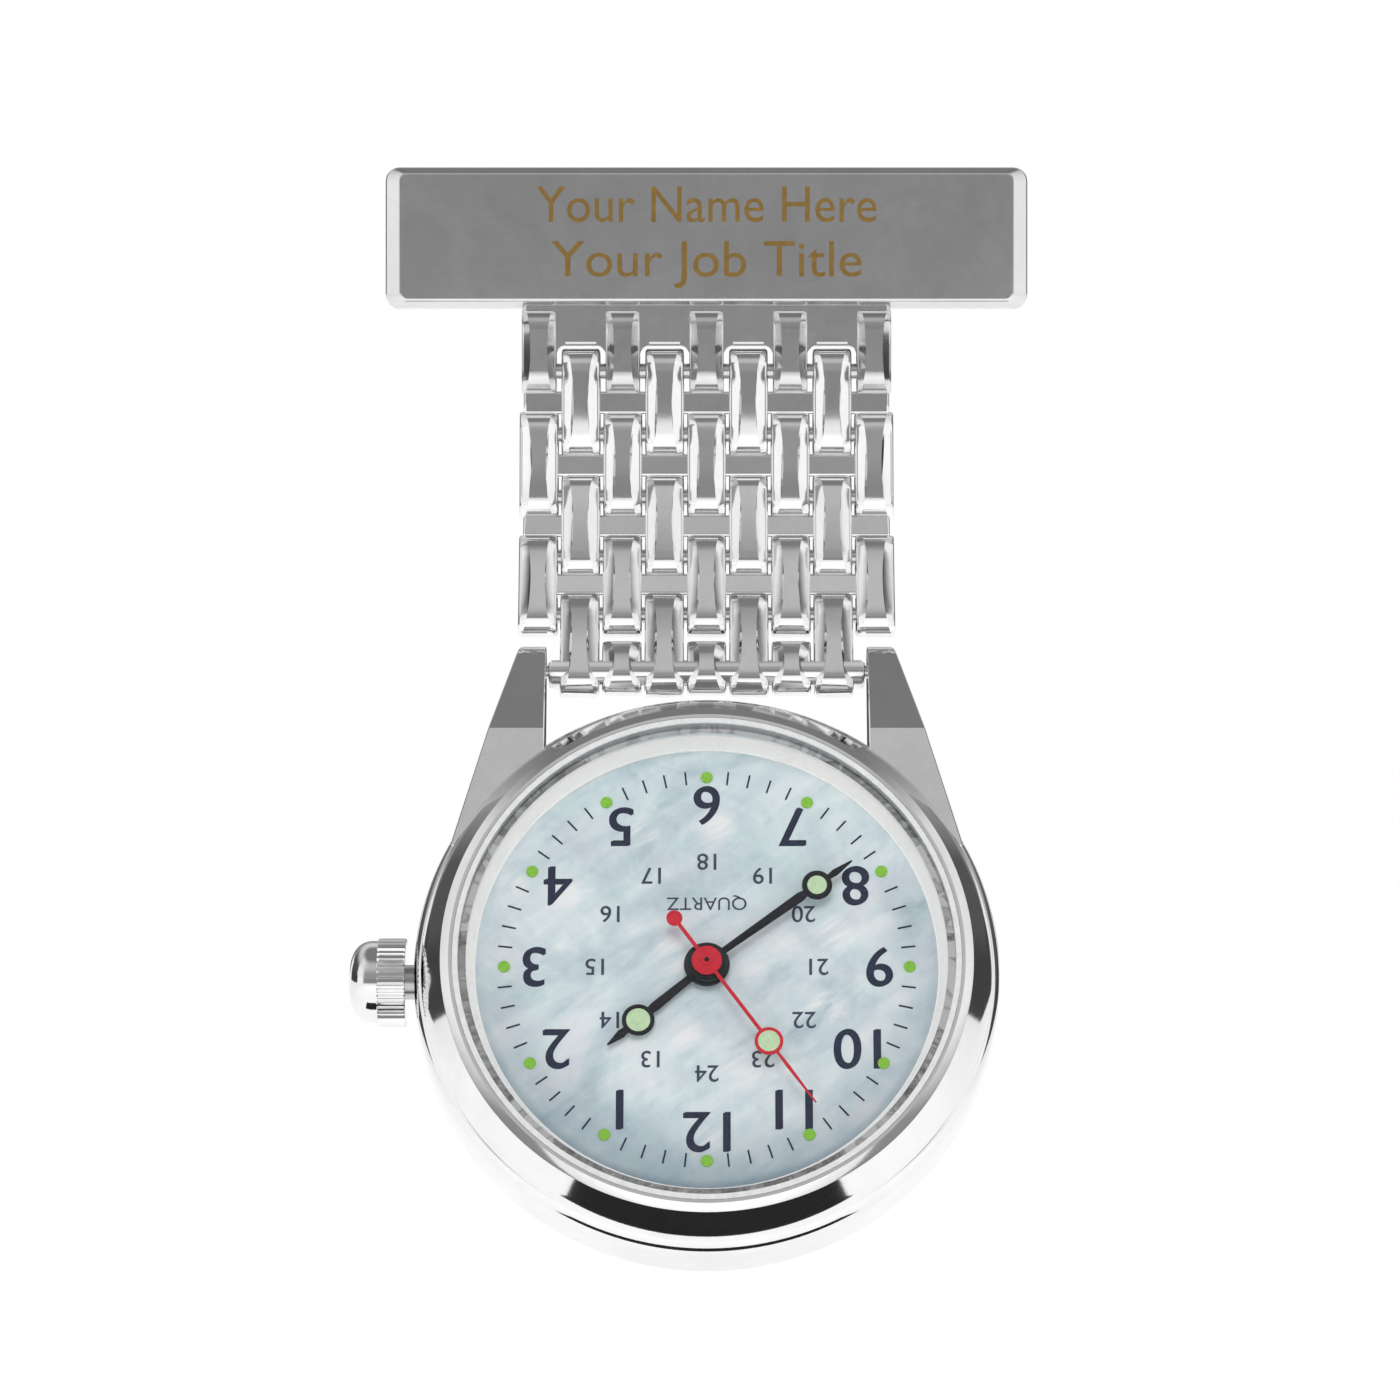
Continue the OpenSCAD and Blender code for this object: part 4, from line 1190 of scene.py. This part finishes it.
@dataclass
class Case:
    """The middle case with its lugs, the bezel and the crystal."""

    radius: float = 15.99
    shoulder: Point = (0.9, 0.8)
    shoulder_height: float = 4.5
    seat_radius: float = 14.1
    seat_height: float = 5.3
    lug_inner: float = 9.0
    lug_outer: float = 14.2
    lug_root: float = 7.2
    lug_end: float = 14.1
    lug_top: float = 5.2
    lug_foot: float = 0.9
    lug_round: float = 1.4
    flank_start: Point = (10.4, 20.0)
    flank_out: Point = (12.0, 3.46)
    root_at: float = 12.0
    root_out: Point = (-4.4, -4.16)
    flank_facet: float = 0.55
    gap_edge: float = 0.16
    edge_height: float = 3.0
    bezel_top: float = 7.5
    rim_radius: float = 13.82
    glass_radius: float = 13.48
    glass_low: float = 7.0
    dome_radius: float = 13.3
    dome_rise: float = 0.6
    dome_steps: int = 12

    def on_flank(self, spot: Vector) -> bool:
        """Whether a spot is on the upper part of the lug's outer flank.

        Args:
            spot: The spot, on the bench.

        Returns:
            True on the flank.
        """
        arm = spot - Vector((*self.flank_start, 0))
        reach = arm.dot(Vector((*self.flank_out, 0)).normalized())
        return abs(reach) < 0.05 and spot.z > self.edge_height

    def in_gap(self, spot: Vector) -> bool:
        """Whether a spot is on the upper part of the lug's inner side."""
        return abs(spot.x - self.lug_inner) < 0.02 and spot.z > self.edge_height

    def lug(self) -> Blank:
        """The lug on the right, as far as the case's wall.

        Returns:
            The lug.
        """
        y, z = SPRING_BAR
        nose = [
            (
                y + self.lug_round * math.cos(math.radians(a)),
                z + self.lug_round * math.sin(math.radians(a)),
            )
            for a in range(-75, 71, 12)
        ]
        crest = [(self.lug_end, self.lug_top), (self.lug_root, self.lug_top)]
        blank = Blank()
        blank.prism([(self.lug_root, self.lug_foot), *nose, *crest], self.lug_inner, self.lug_outer)
        blank.put(TURN_OVER)
        blank.cut((*self.flank_start, 0), (*self.flank_out, 0))
        blank.cut((self.lug_inner, self.root_at, 0), (*self.root_out, 0))
        blank.soften(self.flank_facet, 1, 40.0, self.on_flank)
        blank.soften(self.gap_edge, 2, 40.0, self.in_gap)
        return blank

    def middle(self) -> None:
        """Builds the middle case."""
        blank = Blank()
        wide, tall = self.shoulder
        shoulder = [
            (
                self.radius - wide + wide * math.cos(math.radians(a)),
                self.shoulder_height + tall * math.sin(math.radians(a)),
            )
            for a in range(0, 81, 10)
        ]
        wall = [(14.55, 0.6), (15.2, 0.6), (self.radius, 1.4), *shoulder]
        step = [(15.0, self.seat_height), (self.seat_radius, self.seat_height)]
        bore = [(self.seat_radius, 6.55), (13.4, 6.55), (13.4, 0.95), (14.55, 0.95)]
        blank.turned([*wall, *step, *bore])
        lug = self.lug()
        other = Blank()
        other.mesh = lug.mesh.copy()
        other.put(Matrix.Diagonal((-1, 1, 1, 1)))
        blank.join(lug)
        blank.join(other)
        blank.piece("case_ring", "head", CASE_STEEL, head_seat(), ["mid_case"], "case_steel", 25)

    def bezel(self) -> None:
        """Builds the bezel, which slopes to a rim round the crystal."""
        blank = Blank()
        foot = [(14.12, 5.35), (15.46, 5.35), (15.56, 5.5), (15.5, 5.75)]
        slope = [(15.21, 6.2), (15.16, 6.27), (14.5, 7.23), (14.45, 7.3), (14.3, 7.36)]
        rim = [(14.0, self.bezel_top), (self.rim_radius, self.bezel_top)]
        seat = [(self.rim_radius, self.glass_low), (13.07, self.glass_low)]
        blank.turned([*foot, *slope, *rim, *seat, (13.07, 6.6), (14.12, 6.6)])
        blank.piece("bezel_ring", "head", CASE_STEEL, head_seat(), ["bezel"], "case_steel", 24)

    def crystal(self) -> None:
        """Builds the domed crystal."""
        blank = Blank()
        outs = [1 - i / self.dome_steps for i in range(self.dome_steps + 1)]
        dome = [
            (self.dome_radius * out, self.bezel_top + self.dome_rise * (1 - out**2)) for out in outs
        ]
        edge = [(self.glass_radius, self.glass_low), (self.glass_radius, self.bezel_top - 0.1)]
        blank.turned([(0, self.glass_low), *edge, *dome], closed=False)
        made = blank.piece(
            "crystal_dome", "head", CRYSTAL_GLASS, head_seat(), ["crystal"], "crystal_glass"
        )
        made.visible_shadow = False

    def build(self) -> None:
        """Builds the middle case, the bezel and the crystal."""
        self.middle()
        self.bezel()
        self.crystal()


@dataclass
class Dial:
    """The pearl dial with its printing, luminous dots and the white ring round it."""

    radius: float = 13.25
    low: float = 5.05
    face: float = 5.45
    hole: float = 1.0
    edge: float = 0.03
    print_thickness: float = 0.012
    strike_step: float = 0.001
    hour_ring: float = 9.4
    hour_height: float = 2.2
    hour_spread: float = 0.05
    day_ring: float = 6.1
    day_height: float = 0.92
    day_spread: float = 0.012
    dot_ring: float = 11.04
    dot_radius: float = 0.33
    dot_height: float = 0.1
    dot_edge: float = 0.05
    tick: tuple[float, float] = (0.1, 0.78)
    word_place: float = 3.65
    word_size: tuple[float, float] = (4.35, 0.72)

    @staticmethod
    def at_mark(turn: float, radius: float) -> Vector:
        """Place of a mark, where turn is its share of the way round from 12 o'clock."""
        angle = 2 * math.pi * turn
        return Vector((-radius * math.sin(angle), -radius * math.cos(angle), 0))

    def numbers(self, first: int, ring: float, height: float, spread: float) -> Blank:
        """Twelve hours in a ring.

        Args:
            first: The number at one o'clock.
            ring: Radius of their middles.
            height: Height of a digit.
            spread: How far each number's two strikes lie to either side.

        Returns:
            The printed numbers.
        """
        blank = Blank()
        for step in range(12):
            spot = self.at_mark((step + 1) / 12, ring) + Vector((0, 0, self.face))
            for strike in (-1, 1):
                thickness = self.print_thickness + self.strike_step * strike
                number = Lettering(thickness).shape(str(first + step), height)
                nudge = Matrix.Translation((strike * spread, strike * spread / 2, 0))
                turn = Matrix.Rotation(math.pi, 4, "Z")
                number.put(Matrix.Translation(spot) @ nudge @ turn)
                blank.join(number)
        return blank

    def ticks(self) -> Blank:
        """The minute ticks between the dots.

        Returns:
            The printed ticks.
        """
        blank = Blank()
        size = (*self.tick, self.print_thickness)
        middle = (0, self.dot_ring, self.face + self.print_thickness / 2)
        for minute in range(60):
            if minute % 5:
                tick = Blank()
                tick.block(middle, size)
                tick.put(Matrix.Rotation(math.radians(6 * minute), 4, "Z"))
                blank.join(tick)
        return blank

    def plate(self) -> None:
        """Builds the pearl plate with its centre hole."""
        blank = Blank()
        side = [(self.radius, self.low), (self.radius, self.face - self.edge)]
        top = [(self.radius - self.edge, self.face), (self.hole, self.face)]
        blank.turned([(self.hole, self.low), *side, *top])
        blank.piece("pearl_plate", "head", PEARL_DIAL, head_seat(), ["dial"], "pearl_dial")

    def ring(self) -> None:
        """Builds the white sloping ring between dial and bezel."""
        blank = Blank()
        foot = [(12.6, self.face), (12.6, 5.6), (12.66, 5.64)]
        top = [(13.03, 6.5), (13.09, 6.55), (13.3, 6.55), (13.3, self.face)]
        blank.turned([*foot, *top])
        blank.piece(
            "white_ring", "head", REHAUT_WHITE, head_seat(), ["rehaut_ring"], "rehaut_white"
        )

    def printing(self) -> None:
        """Builds everything printed on the dial."""
        seat = head_seat()
        hours = self.numbers(1, self.hour_ring, self.hour_height, self.hour_spread)
        hours.join(self.ticks())
        hours.piece("hour_numbers", "head", NAVY_PRINT, seat, crease=20)
        days = self.numbers(13, self.day_ring, self.day_height, self.day_spread)
        wide, tall = self.word_size
        word = Lettering(self.print_thickness).shape("QUARTZ", tall, wide)
        spot = Vector((0, self.word_place, self.face))
        word.put(Matrix.Translation(spot) @ Matrix.Rotation(math.pi, 4, "Z"))
        days.join(word)
        days.piece("small_numbers", "head", GREY_PRINT, seat, crease=20)

    def dots(self) -> None:
        """Builds the luminous dots, one to each hour."""
        blank = Blank()
        for hour in range(12):
            dot = Blank()
            spot = self.at_mark(hour / 12, self.dot_ring)
            top = self.face + self.dot_height
            dot.disc((spot.x, spot.y), self.dot_radius, self.face, top, 28)
            dot.soften(self.dot_edge, 2, 50)
            blank.join(dot)
        blank.piece("lume_dots", "head", LUME_GREEN, head_seat(), ["hour_dots"], "lume_green")

    def build(self) -> None:
        """Builds the dial and all that it carries."""
        self.plate()
        self.ring()
        self.printing()
        self.dots()


@dataclass
class Hand:
    """One hand: hub, arm, ring round a luminous disc, and tip, shaped along +Y.

    Its turn is in degrees from 12 o'clock, the way the hands go.
    """

    node: str
    turn: float
    low: float
    hub: float
    length: float
    window: float
    ring: float
    lume: float
    arm: tuple[float, float]
    tip: float
    finish: Finish
    slot: str
    thickness: float = 0.15
    inset: float = 0.01
    taper: float = 0.35
    point: float = 0.04
    hub_rise: float = 0.03
    edge: float = 0.03

    def seat(self) -> Matrix:
        """The hand's frame, turned to the time that it shows."""
        return head_seat() @ Matrix.Rotation(math.radians(180 - self.turn), 4, "Z")

    def metal(self) -> Blank:
        """The hand's metal.

        Returns:
            The metal, along +Y.
        """
        blank = Blank()
        top = self.low + self.thickness
        wide, narrow = (w / 2 for w in self.arm)
        start, end = self.hub * 0.8, self.window - self.ring * 0.92
        waist = end - self.taper
        arm = [(-narrow, start), (narrow, start), (wide, waist), (narrow, end)]
        low, high = self.low + self.inset, top - self.inset
        blank.prism([*arm, (-narrow, end), (-wide, waist)], low, high)
        foot = self.window + self.ring * 0.9
        broad = self.tip / 2
        mid = foot + 0.3 * (self.length - foot)
        tip = [(-broad * 0.7, foot), (broad * 0.7, foot), (broad, mid), (self.point, self.length)]
        blank.prism([*tip, (-self.point, self.length), (-broad, mid)], low, high - 0.002)
        blank.disc((0, 0), self.hub, self.low, top + self.hub_rise)
        ring = Blank()
        inner = self.lume - self.inset
        ring.turned([(inner, self.low), (self.ring, self.low), (self.ring, top), (inner, top)], 56)
        ring.put(Matrix.Translation((0, self.window, 0)))
        blank.join(ring)
        blank.soften(self.edge, 2, 40)
        return blank

    def extra(self, blank: Blank) -> None:
        """Adds what only some hands have."""

    def build(self) -> None:
        """Builds the hand and its luminous disc."""
        blank = self.metal()
        self.extra(blank)
        body, seat = self.node, self.seat()
        blank.piece(f"{body}_metal", body, self.finish, seat, [body], self.slot)
        disc = Blank()
        disc.disc((0, self.window), self.lume, self.low + 0.015, self.low + self.thickness - 0.02)
        disc.piece(f"{body}_disc", body, LUME_PALE, seat, [f"{body}_lume"], "lume_pale")


@dataclass
class SecondHand(Hand):
    """The centre second hand, with a tail that ends in a disc."""

    tail: float = -3.0
    tail_disc: float = 0.44
    collar: tuple[float, float] = (0.34, 0.1)
    pin: tuple[float, float] = (0.14, 0.13)

    def extra(self, blank: Blank) -> None:
        """Adds the tail, and a raised collar and pin on the hub.

        Args:
            blank: The hand's metal, which takes in the tail.
        """
        wide = self.arm[1] / 2
        top = self.low + self.thickness
        more = Blank()
        start, end = self.tail, -self.hub * 0.8
        bar = [(-wide, start), (wide, start), (wide, end), (-wide, end)]
        more.prism(bar, self.low, top - self.inset)
        more.disc((0, self.tail), self.tail_disc, self.low + 0.005, top, 32)
        more.soften(0.02, 2, 40)
        blank.join(more)
        for name, finish, (radius, rise) in (
            ("second_hand_collar", HAND_RED, self.collar),
            ("second_hand_pin", HAND_BLACK, self.pin),
        ):
            stud = Blank()
            stud.disc((0, 0), radius, top, top + rise, 28)
            stud.soften(self.edge, 2, 50)
            stud.piece(name, self.node, finish, self.seat())


@dataclass
class Crown:
    """The fluted crown with its domed end."""

    inner: float = 16.45
    rim: float = 18.0
    radius: float = 2.4
    dome_radius: float = 2.26
    dome: float = 19.6
    flutes: int = 40
    flute_depth: float = 0.14
    flute_edge: float = 0.06
    collar: float = 0.35
    sink: float = 0.1
    steps: int = 4

    def build(self) -> None:
        """Builds the crown."""
        blank = Blank()
        made = bmesh.ops.create_circle(
            blank.mesh,
            cap_ends=True,
            segments=self.flutes * self.steps,
            radius=self.radius,
            matrix=Matrix.Translation((0, 0, self.inner)),
        )["verts"]
        for number, vert in enumerate(made):
            if number % self.steps < self.steps // 2:
                vert.co.xy *= 1 - self.flute_depth / self.radius
        blank.grow(made[0].link_faces[0], (0, 0, self.rim - self.inner))
        blank.soften(self.flute_edge, 2, 60)
        spring = self.rim + self.collar
        curve = [
            (
                self.dome_radius * math.cos(math.radians(a)) ** 0.7,
                spring + (self.dome - spring) * math.sin(math.radians(a)),
            )
            for a in range(0, 90, 9)
        ]
        cap = Blank()
        start = [(0, self.rim - self.sink), (self.dome_radius, self.rim - self.sink)]
        cap.turned([*start, *curve, (0, self.dome)], 96, closed=False)
        blank.join(cap)
        out = Matrix.Rotation(-math.pi / 2, 4, "Y")
        seat = head_seat() @ Matrix.Translation((0, 0, STEM_HEIGHT)) @ out
        blank.piece("winding_crown", "crown", CASE_STEEL, seat, ["crown"], "case_steel", 40)


class HiddenWorks:
    """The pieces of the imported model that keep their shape."""

    def build(self) -> None:
        """Finishes every node in its slot's finish."""
        slots = {part["node"]: part["material_slot"] for part in frame["record"]["subparts"]}
        for name, node in frame["nodes"].items():
            node.data.materials.clear()
            node.data.materials.append(SLOT_FINISH[slots[name]].material())
            LOG.info("%s is finished as %s", name, slots[name])


@dataclass
class Studio:
    """Camera, light, floor and the grey and white walls that the steel mirrors."""

    eye: tuple[float, float, float] = (-0.37, -329.0, -27.3)
    lens: float = 147.2
    floor_height: float = -100.0
    floor_size: float = 12000.0
    strip_middle: float = -38.0
    strip_lift: float = 5.0
    strip_size: tuple[float, float] = (84.0, 25.0)
    key_spot: tuple[float, float, float] = (0.0, -420.0, 330.0)
    key_aim: tuple[float, float, float] = (0.0, -10.0, -40.0)
    key_size: float = 260.0
    key_power: float = 0.8

    def camera(self) -> None:
        """Sets up the camera, which looks along +Y."""
        data = bpy.data.cameras.new("camera")
        data.lens = self.lens
        data.sensor_width = 36.0
        data.clip_start = 0.01
        made = bpy.data.objects.new("camera", data)
        made.location = Vector(self.eye) * MM
        made.rotation_euler = (math.pi / 2, 0, 0)
        bpy.context.scene.collection.objects.link(made)
        bpy.context.scene.camera = made

    def lamp(
        self, name: str, spot: Sequence[float], aim: Sequence[float], size: float, power: float
    ) -> None:
        """Adds a soft light that the steel doesn't mirror.

        Args:
            name: Its name.
            spot: Its place, in millimetres.
            aim: Where it points.
            size: Side of its square, in millimetres.
            power: Its power in watts.
        """
        data = bpy.data.lights.new(name, "AREA")
        data.shape = "SQUARE"
        data.size = size * MM
        data.energy = power
        made = bpy.data.objects.new(name, data)
        made.location = Vector(spot) * MM
        made.rotation_euler = (Vector(aim) - Vector(spot)).to_track_quat("-Z", "Y").to_euler()
        made.visible_glossy = False
        bpy.context.scene.collection.objects.link(made)

    def floor(self) -> None:
        """Lays a plain pale floor, with a dark strip that only the bezel's foot mirrors."""
        paper = Coating("floor_paper", (0.9, 0.9, 0.9), 0.8, 0.01, 60.0, 0.05, glow=0.62)
        card = Coating("dark_card", (0.012, 0.012, 0.014), 0.8, 0.1, 8.0)
        strip_height = self.floor_height + self.strip_lift
        sheets = (
            ("floor", paper, (0, 0, self.floor_height), (self.floor_size, self.floor_size)),
            ("dark_strip", card, (0, self.strip_middle, strip_height), self.strip_size),
        )
        for name, finish, spot, size in sheets:
            mesh = bmesh.new()
            bmesh.ops.create_grid(mesh, x_segments=1, y_segments=1, size=0.5)
            place = Matrix.Translation(spot) @ Matrix.Diagonal((*size, 1, 1))
            bmesh.ops.transform(mesh, matrix=TO_METRES @ place, verts=mesh.verts)
            data = bpy.data.meshes.new(name)
            mesh.to_mesh(data)
            mesh.free()
            data.materials.append(finish.material())
            made = bpy.data.objects.new(name, data)
            bpy.context.scene.collection.objects.link(made)
            if name == "dark_strip":
                made.visible_camera = False
                made.visible_diffuse = False
                made.visible_shadow = False

    def walls(self) -> None:
        """Paints the surroundings: white sides, a dark slot behind and a grey front."""
        world = bpy.data.worlds.new("surroundings")
        world.use_nodes = True
        bpy.context.scene.world = world
        wiring = Wiring(world.node_tree)
        way = wiring.node("ShaderNodeTexCoord").outputs["Generated"]
        split = wiring.node("ShaderNodeSeparateXYZ", {}, {"Vector": way}).outputs
        x, y, z = (Signal(wiring, split[i]) for i in range(3))
        flat = (x * x + y * y).maths("SQRT", x * x + y * y)
        back = (y / (flat + 1e-4) + 1) / 2
        low = wiring.level(
            back,
            [
                (0, 0.27),
                (0.11, 0.3),
                (0.19, 1.1),
                (0.44, 1.1),
                (0.48, 0.06),
                (0.86, 0.06),
                (0.88, 1.0),
                (0.94, 1.0),
                (0.96, 0.08),
                (1, 0.08),
            ],
        )
        high = wiring.level(
            back,
            [
                (0, 0.34),
                (0.11, 0.38),
                (0.2, 1.0),
                (0.47, 1.0),
                (0.53, 0.09),
                (0.86, 0.1),
                (0.93, 0.33),
            ],
        )
        crest = wiring.level(back, [(0, 0.55), (0.3, 0.9), (0.6, 0.6), (1, 0.75)])
        steps = (z + 1) / 2
        first = wiring.level(steps, [(0.59, 0.0), (0.62, 1.0)])
        second = wiring.level(steps, [(0.72, 0.0), (0.83, 1.0)])
        third = wiring.level(steps, [(0.9, 0.0), (0.96, 1.0)])
        light = low + (high - low) * first
        light = light + (crest - light) * second
        light = light + (0.22 - light) * third
        seen = wiring.node("ShaderNodeLightPath").outputs["Is Camera Ray"]
        light = light + (1.0 - light) * Signal(wiring, seen)
        joined = wiring.node("ShaderNodeCombineXYZ", {}, {0: light, 1: light, 2: light})
        shader = wiring.node("ShaderNodeBackground", {}, {"Color": joined.outputs[0]})
        wiring.node("ShaderNodeOutputWorld", {}, {"Surface": shader.outputs[0]})

    def build(self) -> None:
        """Sets the whole stage."""
        bpy.context.scene.view_settings.view_transform = "Standard"
        self.camera()
        self.floor()
        self.walls()
        self.lamp("key", self.key_spot, self.key_aim, self.key_size, self.key_power)


def hands() -> list[Hand]:
    """The three hands, at the time that they show.

    Returns:
        The hands, the lowest first.
    """
    hour = Hand(
        node="hour_hand",
        turn=49.45,
        low=5.75,
        hub=1.25,
        length=7.09,
        window=4.89,
        ring=0.89,
        lume=0.66,
        arm=(0.55, 0.42),
        tip=0.5,
        finish=HAND_BLACK,
        slot="hand_black",
    )
    minute = Hand(
        node="minute_hand",
        turn=233.4,
        low=6.1,
        hub=1.1,
        length=9.9,
        window=7.5,
        ring=0.83,
        lume=0.54,
        arm=(0.55, 0.36),
        tip=0.4,
        finish=HAND_BLACK,
        slot="hand_black",
    )
    second = SecondHand(
        node="second_hand",
        turn=324.0,
        low=6.45,
        hub=0.82,
        length=10.0,
        window=5.7,
        ring=0.78,
        lume=0.6,
        arm=(0.2, 0.2),
        tip=0.2,
        finish=HAND_RED,
        slot="hand_red",
    )
    return [hour, minute, second]


def main() -> None:
    """Builds the watch and its stage."""
    logging.basicConfig(level=logging.INFO, format="%(name)s: %(message)s")
    HiddenWorks().build()
    NameBar().build()
    Bracelet().build()
    Case().build()
    Dial().build()
    for hand in hands():
        hand.build()
    Crown().build()
    Studio().build()


if __name__ == "__main__":
    main()
